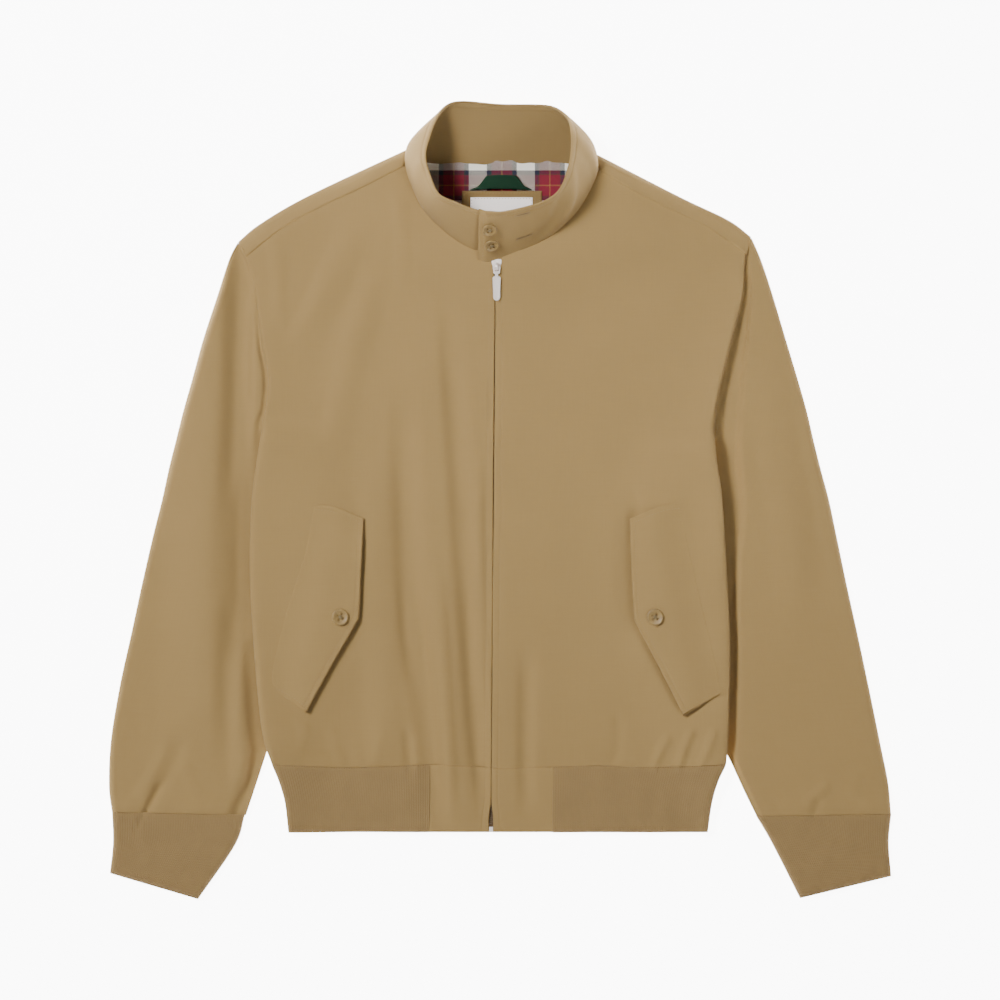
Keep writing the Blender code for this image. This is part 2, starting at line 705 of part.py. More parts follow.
def build_sleeve(side, cloth):
    sections = SLEEVE_SECTIONS[side]
    steps = [k / 2.0 for k in range(13)] + [6.25, 6.5, 6.75, 7.0, 7.5, 8.0]
    steps += [9.0, 10.0, 11.0, 12.0, 13.0, 14.0, 15.0]
    grid = []
    for t in steps:
        outer = along([row[:2] for row in sections], t)
        inner = along([row[2:] for row in sections], t)
        joined = (front_z(inner.x, inner.y), back_z(inner.x, inner.y))
        middle = 0.5 * LAYERS
        pinch = UNDERARM_PINCH * ease(t - 5.0) * (1.0 - ease((t - 7.0) / 1.5))
        if t < UNDERARM:
            ends = joined
            mouth = 0.0
        else:
            closing = ease((t - UNDERARM) / 0.3)
            shut = mix(0.5 * (joined[0] + joined[1]), middle - 0.5 * pinch, closing)
            ends = (shut + 0.5 * SEAM, shut - 0.5 * SEAM)
            mouth = FOLD_EDGE
        gap = SEAM + UNDERARM_EASE * ease((t - 4.0) / 2.0) * (1.0 - ease((t - 6.0) / 0.6))
        grid.append(section_line(outer, inner, gap, ends, LAYERS, middle,
                                 SLEEVE_CREASES[side], mouth, pinch))
    tangent = Vector(grid[1][8][:2]) - Vector(grid[0][8][:2])
    shift = tangent.normalized() * SHOULDER_END_GAP
    grid[0] = [(x + shift.x, y + shift.y, z) for x, y, z in grid[0]]
    sheet("sleeve_" + side, grid, WALL, cloth, up=(14, 7))


def build_cuff(side, rib):
    sections = CUFF_SECTIONS[side]
    grid = []
    for k in range(5):
        t = k / 2.0
        outer = along([row[:2] for row in sections], t)
        inner = along([row[2:] for row in sections], t)
        middle = 0.5 * LAYERS
        line = section_line(outer, inner, 0.0, (middle, middle), LAYERS, middle, (), FOLD_EDGE)
        grid.append(line)
    sheet("cuff_rib_" + side, grid, RIB_WALL, rib, up=(2, 7), closed=True)


def band_height(x):
    return LAYERS + placket_rise(x, BAND_TOP_Y)


def band_half(side, y, share):
    """Band from a front end out to the side fold and under it to where the back lies flat."""
    sign = SIGN[side]
    edge = at_share(BAND_SIDE[side], share).x
    start = zip_x(y) + sign * (BAND_END_WIDTH + 0.5 * SEAM)
    stop = edge - sign * FOLD
    part = [(x, y, band_height(x)) for x in (mix(start, stop, k / 6.0) for k in range(7))]
    for turn in (60.0, 30.0, 0.0, -30.0, -60.0):
        angle = math.radians(turn)
        x = edge - sign * FOLD * (1.0 - math.cos(angle))
        part.append((x, y, 0.5 * LAYERS * (1.0 + math.sin(angle))))
    part.append((stop, y, 0.0))
    return part


def build_waist_rib(rib):
    """Rib band from the right front end round the back to the left front end."""
    grid = []
    rows = 4
    for j in range(rows + 1):
        share = j / rows
        y = mix(BAND_TOP_Y, BAND_BOTTOM_Y, share)
        right, left = band_half("right", y, share), band_half("left", y, share)
        under = [(mix(right[-1][0], left[-1][0], k / 12.0), y, 0.0) for k in range(1, 12)]
        line = right + under + left[::-1]
        grid.append([(x, y - SEAM * (1.0 - share), z + rise_over_sleeve(x, y)) for x, _, z in line])
    sheet("waist_rib", grid, RIB_WALL, rib, up=(2, 3))


def build_band_end(side, cloth):
    sign = SIGN[side]
    grid = []
    for j in range(5):
        t = j / 4.0
        y = mix(BAND_TOP_Y - SEAM, BAND_BOTTOM_Y, t)
        apart = mix(SHUT_HALF_GAP, BAND_HALF_GAP, ease((-290.0 - y) / 40.0))
        start = zip_x(y) + sign * apart
        stop = zip_x(y) + sign * (BAND_END_WIDTH - 0.5 * SEAM)
        xs = [mix(start, stop, k / 5.0) for k in range(6)]
        grid.append([(x, y, band_height(x)) for x in xs])
    sheet("waistband_end_" + side, grid, RIB_WALL, cloth)


def collar_profile(t):
    """Five points of the collar's outer face at section t, from seam to top edge."""
    low = along([row[0:3] for row in COLLAR_SECTIONS], t)
    high = along([row[3:6] for row in COLLAR_SECTIONS], t)
    swell = along([(row[6], 0.0) for row in COLLAR_SECTIONS], t).x
    middle = low.lerp(high, 0.5)
    outward = Vector((middle.x - COLLAR_MIDDLE[0], middle.y - COLLAR_MIDDLE[1], 0.0)).normalized()
    points = []
    for k in range(5):
        share = k / 4.0
        bow = 4.0 * share * (1.0 - share) * swell
        points.append(low.lerp(high, share) + outward * bow)
    return points


def build_collar(cloth):
    last = len(COLLAR_SECTIONS) - 1
    steps = [k / 2.0 for k in range(2 * last + 1)]
    columns = [collar_profile(t) for t in steps]
    grid = [[tuple(column[k]) for column in columns] for k in range(5)]
    sheet("collar", grid, COLLAR_WALL, cloth, up=(2, 2 * last - 3))


def on_collar(t, share, lift):
    """Point and outward direction on the collar's outer face."""
    points = collar_profile(t)
    here = points[0].lerp(points[-1], share)
    up = (points[-1] - points[0]).normalized()
    side = (collar_profile(t - 0.2)[2] - collar_profile(t + 0.2)[2]).normalized()
    outward = up.cross(side).normalized()
    if outward.z < 0.0:
        outward = -outward
    return here + outward * lift, outward


def build_button(name, centre, outward, width, stuff):
    """Round button with a raised rim and a sunk middle, on its thread shank."""
    bm = bmesh.new()
    radius = 0.5 * width
    profile = [(0.32, 0.0), (0.9, 0.5), (1.0, 1.1), (0.97, 2.0), (0.86, BUTTON_HEIGHT),
               (0.68, BUTTON_HEIGHT - 0.1), (0.55, 1.7)]
    sides = 12
    bmesh.ops.create_grid(bm, x_segments=sides, y_segments=len(profile) - 1, size=1.0)
    for index, vert in enumerate(bm.verts):
        ring, turn = divmod(index, sides + 1)
        share, height = profile[ring]
        angle = -2.0 * math.pi * (turn % sides) / sides
        vert.co = Vector((radius * share * math.cos(angle), radius * share * math.sin(angle), height)) * MM
    bmesh.ops.remove_doubles(bm, verts=bm.verts[:], dist=0.01 * MM)
    bmesh.ops.holes_fill(bm, edges=[e for e in bm.edges if e.is_boundary], sides=sides)
    bmesh.ops.recalc_face_normals(bm, faces=bm.faces[:])
    made = add_object(name, bm, stuff)
    made.rotation_mode = "QUATERNION"
    made.rotation_quaternion = outward.to_track_quat("Z", "Y")
    made.location = centre * MM


def build_flap(side, front, cloth):
    """Flap on a front: its points are the front's own, moved out."""
    front_at = face_of(front)
    grid = []
    for j in range(11):
        sewn, free = at_share(FLAP_SEWN[side], j / 10.0), at_share(FLAP_FREE[side], j / 10.0)
        line = []
        for i in range(6):
            u = i / 5.0
            place = sewn.lerp(free, u)
            height = front_at(place.x, place.y)[0]
            line.append((place.x, place.y, height + FLAP_LAY + FLAP_WALL + FLAP_LIFT * u * u))
        grid.append(line)
    return sheet("pocket_flap_" + side, grid, FLAP_WALL, cloth)


def build_flap_button(side, flap, stuff):
    x, y = FLAP_BUTTON_PLACE[side]
    height, normal = face_of(flap)(x, y)
    centre = Vector((x, y, height)) + normal * 0.5
    build_button("flap_button_" + side, centre, normal, FLAP_BUTTON, stuff)


def build_zip_tape(panels, tape):
    """Tape behind the fronts with the closed coil standing up along its middle."""
    undersides = [face_of(panel, outer=False) for panel in panels]
    half_tape, half_chain = 0.5 * TAPE_WIDTH, 0.5 * CHAIN_WIDTH
    across = [(-half_tape, 0.0), (-half_chain - 0.3, 0.0), (-half_chain, CHAIN_HEIGHT),
              (half_chain, CHAIN_HEIGHT), (half_chain + 0.3, 0.0), (half_tape, 0.0)]
    grid = []
    for k in range(19):
        y = mix(ZIP_BOTTOM_Y, ZIP_TOP_Y, k / 18.0)
        x = zip_x(y)
        lowest = min(under(x + offset, y + step)[0] for under in undersides
                     for offset in (-12.0, -4.0, -2.0, 2.0, 4.0, 12.0) for step in (-10.0, 0.0, 10.0))
        z = min(lowest, band_height(x) - RIB_WALL) - LAY - CHAIN_HEIGHT
        grid.append([(x + offset, y, z + rise) for offset, rise in across])
    sheet("zip_tape", grid, TRIM_WALL, tape, up=(9, 2))


def slider_deck():
    """Height of the slider's top plate."""
    return front_z(zip_x(SLIDER_Y) + SLIDER_WIDTH, SLIDER_Y) + 0.6


def plate(outline, thick):
    """Closed plate: a flat outline of points carried along the vector thick."""
    bm = bmesh.new()
    bmesh.ops.create_circle(bm, cap_ends=True, segments=len(outline), radius=1.0)
    for vert, point in zip(bm.verts, outline):
        vert.co = Vector(point) * MM
    carried = bmesh.ops.extrude_face_region(bm, geom=bm.faces[:])
    corners = [item for item in carried["geom"] if isinstance(item, bmesh.types.BMVert)]
    bmesh.ops.translate(bm, vec=Vector(thick) * MM, verts=corners)
    bmesh.ops.recalc_face_normals(bm, faces=bm.faces[:])
    return bm


def box(size, middle):
    bm = bmesh.new()
    bmesh.ops.create_cube(bm, size=1.0)
    bmesh.ops.scale(bm, vec=Vector(size) * MM, verts=bm.verts[:])
    bmesh.ops.translate(bm, vec=Vector(middle) * MM, verts=bm.verts[:])
    return bm


def apply_form(body, name, bm, operation):
    """Unite a helper form with a body or cut it out, and keep the form out of the build."""
    form = add_object(name, bm, body.data.materials[0])
    form.location = body.location
    form.rotation_euler = body.rotation_euler
    JACKET.objects.unlink(form)
    FORMS.objects.link(form)
    form.hide_render = True
    form.display_type = "WIRE"
    step = body.modifiers.new(name, "BOOLEAN")
    step.operation = operation
    step.object = form


def build_slider(metal):
    """Two plates joined by a wedge, with an arched bail over the top one."""
    half = 0.5 * SLIDER_LENGTH
    wedge = half - SLIDER_WEDGE
    low = SLIDER_PLATE + SLIDER_SPACE
    side_view = [(-half, 0.0), (-half, -SLIDER_PLATE), (wedge, -SLIDER_PLATE), (wedge, -low),
                 (-half, -low), (-half, -low - SLIDER_PLATE), (half, -low - SLIDER_PLATE), (half, 0.0)]
    outline = [(-0.5 * SLIDER_WIDTH, y, z) for y, z in side_view]
    body = add_object("zip_slider", plate(outline, (SLIDER_WIDTH, 0.0, 0.0)), metal)
    body.location = Vector((zip_x(SLIDER_Y), SLIDER_Y, slider_deck())) * MM
    reach, shoulder = 0.5 * BAIL_LENGTH, 0.5 * BAIL_HOLE + 0.3
    inner = reach - BAIL_WALL
    hoop = [(-reach, -0.3), (-reach, shoulder), (-2.2, BAIL_HOLE + BAIL_WALL), (2.2, BAIL_HOLE + BAIL_WALL),
            (reach, shoulder), (reach, -0.3), (inner, -0.3), (inner, 1.4), (1.5, BAIL_HOLE),
            (-1.5, BAIL_HOLE), (-inner, 1.4), (-inner, -0.3)]
    outline = [(-0.5 * BAIL_WIDTH, y - PIVOT_SETBACK, z) for y, z in hoop]
    apply_form(body, "bail_form", plate(outline, (BAIL_WIDTH, 0.0, 0.0)), "UNION")


def pull_pivot():
    """Middle of the pin that turns inside the bail."""
    height = slider_deck() + PULL_LIFT + 0.5 * PULL_PIN
    return Vector((zip_x(SLIDER_Y), SLIDER_Y - PIVOT_SETBACK, height))


def build_pull(metal):
    """Pull tab: an eye round the bail, a narrow neck and a round-ended tab."""
    pin_half = 0.5 * PULL_PIN
    half = 0.5 * PULL_WIDTH
    tip = -PULL_NECK - PULL_LENGTH + half
    edge = [(PULL_EYE, pin_half), (PULL_EYE, -6.1), (1.6, -7.5), (1.6, -PULL_NECK),
            (half - 0.6, -PULL_NECK - 0.6), (half, -PULL_NECK - 2.0)]
    turns = 6
    for k in range(turns + 1):
        angle = 0.5 * math.pi * k / turns
        edge.append((half * math.cos(angle), tip - half * math.sin(angle)))
    outline = edge + [(-x, y) for x, y in reversed(edge[:-1])]
    outline = [(x, y, -pin_half) for x, y in outline]
    tab = add_object("zip_pull", plate(outline, (0.0, 0.0, PULL_THICK)), metal)
    tab.location = pull_pivot() * MM
    tab.rotation_euler = (math.radians(PULL_DROOP), 0.0, 0.0)
    eye = box((2.0 * PULL_EYE - 3.0, PULL_EYE_LENGTH, 6.0), (0.0, -pin_half - 0.5 * PULL_EYE_LENGTH, 0.0))
    apply_form(tab, "pull_eye_form", eye, "DIFFERENCE")


def build_zip_box(metal):
    y = ZIP_BOTTOM_Y
    made = add_object("zip_bottom_box", box(ZIP_BOX, (0.0, 0.0, -0.5 * ZIP_BOX[2])), metal)
    made.location = Vector((zip_x(y), y - 0.2, band_height(zip_x(y)) + 0.4)) * MM


def flat_piece(name, left, right, bottom, top, low, thick, stuff):
    """Rectangle of cloth lying at the height low."""
    rows = [[(mix(left, right, i / 4.0), mix(bottom, top, j / 4.0), low + thick) for i in range(5)]
            for j in range(5)]
    sheet(name, rows, thick, stuff)


def build_neck_inside(tartan, cloth, label, loop):
    """Lining behind the neck with its patch, label and hanger loop, one on another."""
    low = WALL + LAY
    flat_piece("back_neck_lining", -76.0, 76.0, 262.0, 336.6, low, TRIM_WALL, tartan)
    low += TRIM_WALL + LAY
    flat_piece("neck_patch", -38.0, 42.0, 268.0, 309.0, low, TRIM_WALL, cloth)
    rows = []
    for j in range(4):
        v = j / 3.0
        line = []
        for i in range(13):
            u = i / 12.0
            x = mix(mix(-31.0, 33.0, u), mix(-24.0, 26.0, u), v)
            bow = math.sin(math.pi * u)
            width = LOOP_WIDTH * (0.35 + 0.65 * ease(3.0 * min(u, 1.0 - u)))
            line.append((x, mix(309.6, 311.5, bow) + width * v, low + TRIM_WALL + LOOP_RISE * bow))
        rows.append(line)
    sheet("hanger_loop", rows, TRIM_WALL, loop)
    low += TRIM_WALL + LAY
    flat_piece("neck_label", -29.5, 32.5, 272.0, 302.5, low, LABEL_WALL, label)


# ------------------------------------------------------------------- the jacket

for old in list(bpy.data.objects):
    bpy.data.objects.remove(old)

JACKET = bpy.data.collections.new("harrington_jacket")
FORMS = bpy.data.collections.new("forms")
bpy.context.scene.collection.children.link(JACKET)
bpy.context.scene.collection.children.link(FORMS)

shell_cloth = material("sand_poplin", SAND)
rib_knit = material("sand_rib", SAND_RIB)
tartan_cloth = material("tartan", RED)
label_tape = material("white_label", WHITE, 0.7)
loop_tape = material("green_tape", GREEN)
zip_cloth = material("zip_tape_cloth", SAND_SHADE)
horn = material("horn_button", HORN, 0.4)
nickel = material("nickel", NICKEL, 0.3, 1.0)

fronts = []
for wearer_side in ("right", "left"):
    front_panel = build_front(wearer_side, shell_cloth)
    build_sleeve(wearer_side, shell_cloth)
    build_cuff(wearer_side, rib_knit)
    build_band_end(wearer_side, shell_cloth)
    fronts.append(front_panel)
    pocket_flap = build_flap(wearer_side, front_panel, shell_cloth)
    build_flap_button(wearer_side, pocket_flap, horn)
build_back(shell_cloth)
build_waist_rib(rib_knit)
build_collar(shell_cloth)
for label_name, section, height in (("upper", 22.1, 0.62), ("lower", 21.95, 0.28)):
    place, facing_out = on_collar(section, height, LAY)
    build_button("collar_button_" + label_name, place, facing_out, COLLAR_BUTTON, horn)
build_zip_tape(fronts, zip_cloth)
build_slider(nickel)
build_pull(nickel)
build_zip_box(nickel)
build_neck_inside(tartan_cloth, shell_cloth, label_tape, loop_tape)
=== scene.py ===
"""Harrington jacket laid flat on its back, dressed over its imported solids.

Tables are in millimetres from the middle of the laid-out jacket: x towards the wearer's left
arm, y towards the collar, z up from the surface it lies on. Right and left are the wearer's.
"""

import math

import bmesh
import bpy
import numpy as np
from mathutils import Matrix, Vector
from mathutils.bvhtree import BVHTree


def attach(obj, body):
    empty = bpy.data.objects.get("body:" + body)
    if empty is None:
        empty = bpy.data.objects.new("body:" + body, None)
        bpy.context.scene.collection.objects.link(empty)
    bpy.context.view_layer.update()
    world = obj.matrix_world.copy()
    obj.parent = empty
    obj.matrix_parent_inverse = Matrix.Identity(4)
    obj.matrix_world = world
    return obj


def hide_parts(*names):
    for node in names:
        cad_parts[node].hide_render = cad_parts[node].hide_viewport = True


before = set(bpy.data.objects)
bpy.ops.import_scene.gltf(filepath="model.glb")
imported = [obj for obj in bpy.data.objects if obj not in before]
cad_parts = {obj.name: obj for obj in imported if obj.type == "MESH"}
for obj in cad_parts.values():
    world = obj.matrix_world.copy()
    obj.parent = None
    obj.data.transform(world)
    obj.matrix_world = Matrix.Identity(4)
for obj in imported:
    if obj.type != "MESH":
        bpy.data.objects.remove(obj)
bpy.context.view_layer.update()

# ---------------------------------------------------------------- the two fronts
# Each front is one panel of sand cotton poplin, lined, cut from the waistband seam up to the neck.
# It is sewn to the back at the side and over the shoulder, to the sleeve round the armhole, and
# its folded edge is stitched to the zip tape along the middle.
MM = 0.001
WAY = {"right": -1.0, "left": 1.0}

# Sleeve sections from the shoulder point to the cuff seam: outer x, y, inner x, y. Down to the
# underarm the inner end is the armhole seam; below it is the fold that lies under the body.
SLEEVE = {
    "right": np.array([
        (-262.0, 258.0, -258.5, 252.0), (-271.0, 240.0, -250.0, 232.0),
        (-282.0, 206.0, -244.0, 203.0), (-297.0, 160.0, -238.0, 157.0),
        (-308.0, 120.0, -232.0, 124.0), (-317.0, 88.0, -234.0, 92.0),
        (-324.0, 60.0, -238.0, 70.0), (-331.0, 32.0, -222.0, 40.0),
        (-338.0, 0.0, -200.0, 5.0), (-347.0, -36.0, -187.0, -40.0),
        (-358.0, -84.0, -186.0, -90.0), (-369.0, -135.0, -198.0, -142.0),
        (-380.0, -185.0, -215.0, -192.0), (-389.0, -240.0, -232.0, -245.0),
        (-391.0, -285.0, -246.0, -288.0), (-388.0, -312.0, -255.0, -315.0),
    ]),
    "left": np.array([
        (251.0, 263.0, 248.0, 258.4), (261.0, 240.0, 245.0, 232.0),
        (272.0, 207.0, 243.0, 203.0), (286.0, 160.0, 233.0, 163.0),
        (298.0, 120.0, 224.0, 128.0), (307.0, 88.0, 217.0, 95.0),
        (314.0, 58.0, 214.0, 66.0), (321.0, 30.0, 200.0, 36.0),
        (329.0, 0.0, 184.0, 2.0), (337.0, -38.0, 176.0, -42.0),
        (347.0, -86.0, 176.0, -92.0), (358.0, -136.0, 188.0, -143.0),
        (369.0, -188.0, 205.0, -194.0), (380.0, -242.0, 224.0, -246.0),
        (388.0, -282.0, 241.0, -285.0), (391.0, -314.0, 256.0, -316.0),
    ]),
}
UNDERARM = 6  # the section at the underarm
SIDE_SEAM = {
    "right": [(-228.0, -264.0), (-236.5, -238.0), (-241.5, -200.0), (-246.5, -140.0),
              (-250.0, -70.0), (-248.0, 0.0), (-243.0, 40.0), (-238.0, 70.0)],
    "left": [(226.0, -264.0), (228.0, -238.0), (229.0, -200.0), (230.0, -150.0),
             (228.0, -100.0), (222.0, 0.0), (217.0, 36.0), (214.0, 66.0)],
}
SHOULDER = {
    "right": [(-262.0, 258.0), (-240.0, 276.0), (-192.0, 304.0), (-92.0, 351.0)],
    "left": [(251.0, 263.0), (228.0, 280.0), (180.0, 303.0), (94.0, 347.0)],
}
FRONT_NECK = {
    "right": [(-95.5, 333.8), (-88.8, 312.6), (-75.6, 286.0), (-51.2, 262.6),
              (-30.4, 249.8), (-12.0, 244.6), (-8.0, 243.0)],
    "left": [(99.2, 329.6), (92.2, 310.8), (76.6, 285.2), (53.4, 263.2),
             (28.4, 250.4), (8.0, 244.0), (3.0, 243.0)],
}
HEM_SEAM = [(-228.0, -264.0), (-190.0, -266.2), (-150.0, -267.6), (-110.0, -266.4), (-70.0, -264.4),
            (-35.0, -265.6), (-8.0, -267.4), (20.0, -267.8), (55.0, -266.6), (95.0, -265.2),
            (135.0, -266.8), (175.0, -266.4), (205.0, -265.2), (226.0, -264.0)]
BAND_TOP = -266.0
NECK_Y = 300.0
SLIDER_Y = 235.0

LAYERS = 7.0  # the front's outer face over the back's
FOLD = 7.0  # reach of a rounded fold from its edge
LEAST_ROOM = 3.9  # a front doesn't sink below this
RIDGE = 80.0  # reach of the rise beside the zip
YOKE_WRAP = 16.0  # how far the back's shoulder edge comes over to the front
FRONT_STEP = 3.1
FRONT_WALL = 1.8

# Insets of the stitches beside the zip and along other free edges.
ZIP_STITCHED = 6.5
EDGE_STITCHED = 5.2

# Distances of a sheet's first points from its edge, and from the edge at the zip.
PANEL_EDGE = (0.0, 0.35, 0.9, 1.7, 2.7, 4.0, 5.5, 7.0)
ZIP_EDGE = (0.0, 0.3, 0.8, 1.5, 2.5, 4.0, 5.6, 6.2, 6.6, 7.0, 7.6, 9.0)

# Creases: start x, y, end x, y, bend of the middle, half width on the left or lower side, half
# width on the right or upper side, height (a trough is negative).
FRONT_CREASES = [
    (-75, 260, -50, -420, 0, 55, 52, 2.8), (-124, 80, -110, -330, 0, 28, 24, 2.8),
    (-56, 240, -18, -345, 0, 14, 19, -3.9), (-36, -60, -16, -345, 0, 9, 11, -2.3),
    (-97, 130, -82, -200, -3, 18, 20, -4.0), (-92, -60, -58, -345, 3, 22, 13, -5.2),
    (-64, -60, -48, -330, 2, 13, 10, 2.4), (-22, 70, -24, -250, 1, 10, 8, 1.4),
    (26, -140, 25, -330, 0, 11, 13, -3.0), (-146, 282, -212, 140, 3, 18, 26, 2.2),
    (-116, 245, -172, 40, -7, 16, 24, 2.2), (-224, 265, -221, 165, 0, 10, 12, 1.2),
    (-104, 320, -100, 205, 2, 9, 14, 1.2), (132, 262, 222, 244, -2, 16, 14, 2.0),
    (152, -274, 172, -232, 2, 6, 7, 2.8),
    (176, -274, 194, -226, 1, 6, 7, 3.2), (198, -272, 216, -224, -1, 6, 7, 2.8),
    (112, -270, 118, -210, -3, 9, 8, -1.5), (-88, -280, -92, -225, 1, 7, 8, -2.4),
    (-126, -268, -120, -225, -2, 8, 8, 1.0), (-160, -266, -168, -222, 2, 9, 8, 1.1),
    (-206, -262, -194, -220, -3, 8, 9, 1.0), (52, 70, 46, -240, 4, 24, 22, 0.8),
]

# Hollows in the front beside the free edges of the left flap.
BESIDE_FLAP = [
    (136, 20, 138, -150, 0, 26, 6, -4.4), (130, -108, 192, -226, 0, 8, 5, -4.0),
    (182, -216, 232, -190, 0, 5, 4, -1.6),
]

# Beside each sleeve, by falling y: y, lift of the body's edge, then width, slope and depth of the
# hollow between body and sleeve.
HOLLOW = {
    "right": np.array([
        (258, 0, 0, 3, 0.5), (190, 0, 1, 3, 0.9), (150, 1, 2, 4, 3.0), (117, 1.5, 2.5, 4, 3.6),
        (92, 1.5, 2, 4, 3.0), (62, 1, 0, 12, 2.2), (0, 0, 0, 24, 3.2), (-80, 0, 0, 24, 3.4),
        (-115, 0.5, 0, 20, 3.0), (-140, 1.5, 0, 12, 3.0), (-165, 3, 0, 14, 9.0),
        (-205, 4, 0, 17, 11.0), (-250, 4, 0, 18, 11.0), (-264, 0.0, 0, 20, 8.0)]),
    "left": np.array([
        (258, 0, 0.5, 3, 1.2), (230, 2, 2, 4, 4.0), (200, 4, 5, 5, 6.5), (160, 7, 10, 7, 8.5),
        (100, 9, 15, 12, 9.0), (60, 8, 15, 13, 9.0), (20, 7, 13, 12, 9.0), (-20, 7, 12, 10, 8.5),
        (-60, 5, 6, 8, 7.0), (-120, 3, 3, 6, 5.0), (-240, 2.5, 3, 6, 4.0), (-264, 0.0, 2, 5, 2.0)]),
}


def mix(a, b, share):
    return a + (b - a) * share


def ease(t):
    t = np.clip(t, 0.0, 1.0)
    return t * t * (3.0 - 2.0 * t)


def arch(t):
    """Height of a rounded fold: 0 at its edge, 1 where the cloth lies flat."""
    t = np.clip(t, 0.0, 1.0)
    return np.sqrt(t * (2.0 - t))


def curve(points, t):
    """Smooth curve through points; t counts them from 0."""
    p = np.asarray(points, float)
    p = np.vstack([2 * p[0] - p[1], p, 2 * p[-1] - p[-2]])
    t = np.clip(np.asarray(t, float), 0, len(points) - 1)
    i = np.minimum(t.astype(int), len(points) - 2)
    f = (t - i)[..., None]
    a, b, c, d = p[i], p[i + 1], p[i + 2], p[i + 3]
    bend = (2 * a - 5 * b + 4 * c - d) * f * f + (3 * b - 3 * c + d - a) * f ** 3
    return 0.5 * (2 * b + (c - a) * f + bend)


def soft_floor(height, floor, softness):
    """Height that sinks no lower than a floor and eases on to it."""
    return floor + softness * np.logaddexp(0.0, (height - floor) / softness)


def length_of(line):
    return float(np.linalg.norm(np.diff(line, axis=0), axis=1).sum())


def run_along(line):
    """Length of a line up to each of its points."""
    return np.r_[0.0, np.cumsum(np.linalg.norm(np.diff(line, axis=0), axis=1))]


def at_length(line, shares):
    """Points at shares of a line's length."""
    steps = run_along(line)
    where = np.asarray(shares) * steps[-1]
    return np.stack([np.interp(where, steps, line[:, k]) for k in range(line.shape[1])], -1)


def smooth_line(points):
    """Many points along the smooth curve through a few."""
    return curve(points, np.linspace(0, len(points) - 1, 30 * len(points)))


def graded(length, step, first=PANEL_EDGE, last=PANEL_EDGE):
    """Shares of a length: close together at its edges, a step apart between them."""
    end = [length - e for e in reversed(last)]
    count = max(2, round((end[0] - first[-1]) / step))
    inner = np.linspace(first[-1], end[0], count + 1)[1:-1]
    return np.array([*first, *inner, *end]) / length


def graded_past(length, corner, last=PANEL_EDGE):
    """Shares of a front's edge, close together at both ends, with one of them at its corner."""
    before = graded(length * corner, FRONT_STEP, last=(0.0,)) * corner
    after = graded(length * (1 - corner), FRONT_STEP, (0.0,), last)[1:] * (1 - corner)
    return np.r_[before, corner + after]


def span(left, right, bottom, top, across, upward):
    """Plan points of a panel held by its four edges, at shares across and upward."""
    u, v = across[None, :, None], upward[:, None, None]
    low, high = at_length(bottom, across)[None], at_length(top, across)[None]
    near, far = at_length(left, upward)[:, None], at_length(right, upward)[:, None]
    ruled = low * (1 - v) + high * v + near * (1 - u) + far * u
    corner = left[0] * (1 - u) * (1 - v) + right[0] * u * (1 - v)
    return ruled - corner - left[-1] * (1 - u) * v - right[-1] * u * v


def creases_at(table, x, y):
    """Height that a table of creases adds at each place."""
    total = np.zeros_like(x)
    for x0, y0, x1, y1, bend, near, far, height in table:
        run = np.array((x1 - x0, y1 - y0), float)
        length = np.hypot(*run)
        t = ((x - x0) * run[0] + (y - y0) * run[1]) / length ** 2
        off = ((y - y0) * run[0] - (x - x0) * run[1]) / length - 4 * bend * t * (1 - t)
        reach = np.clip(np.abs(off) / np.where(off > 0, far, near), 0, 1)
        total += height * (1 - reach ** 2) ** 2 * ease(4 * t) * ease(4 * (1 - t))
    return total


def rumple(x, y, seed, size):
    """Slow uneven rise and fall of cloth that lies by itself; size is its usual wavelength."""
    rng = np.random.default_rng(seed)
    total = np.zeros_like(x)
    for _ in range(14):
        turn = rng.uniform(0, math.tau)
        wave = math.tau / (size * rng.uniform(0.6, 1.9))
        total += np.sin((x * math.cos(turn) + y * math.sin(turn)) * wave + rng.uniform(0, math.tau))
    return total / 5.0


def fold_edge(side):
    """Inner edge of a sleeve below the underarm, by falling y."""
    return curve(SLEEVE[side][UNDERARM:, 2:], np.linspace(0, 9, 120))


def x_where(line, y):
    """x of a line, ordered by falling y, at each y."""
    return np.interp(-y, -line[:, 1], line[:, 0])


INNER_EDGE = {side: fold_edge(side) for side in WAY}
BODY_EDGE = {side: smooth_line(SIDE_SEAM[side])[::-1] for side in WAY}
HEM_LINE = smooth_line(HEM_SEAM)


def hem_y(x):
    return np.interp(x, HEM_LINE[:, 0], HEM_LINE[:, 1])


def zip_x(y):
    """Middle of the zip, which leans a little."""
    return np.interp(y, (-332.0, -60.0, 197.0, 245.0), (-9.0, -7.0, -4.8, -3.0))


def on_its_side(x, rule):
    """What a rule gives for the side that each place is on."""
    return np.where(x < 0.0, rule("right"), rule("left"))


RISE = {"right": 7.2, "left": 9.0}


def rise_over_sleeve(x, y):
    """How far the body is lifted by the sleeve that is tucked under it."""
    def one(side):
        inside = WAY[side] * (x - x_where(INNER_EDGE[side], y))
        below = ease((SLEEVE[side][UNDERARM, 3] + 15.0 - y) / 30.0)
        return RISE[side] * ease((inside + 84.0) / 80.0) * below
    return on_its_side(x, one)


def hollow_at(side, y):
    """Lift of the body's edge at each y, and width, slope and depth of the hollow beside it."""
    table = HOLLOW[side]
    return [np.interp(-np.asarray(y, float), -table[:, 0], table[:, k]) for k in (1, 2, 3, 4)]


def placket(x, y):
    """Rise of the cloth towards the zip, whose tape and folded edges lie under it."""
    return 2.0 * (1.0 - ease((np.abs(x - zip_x(y)) - 4.0) / RIDGE))


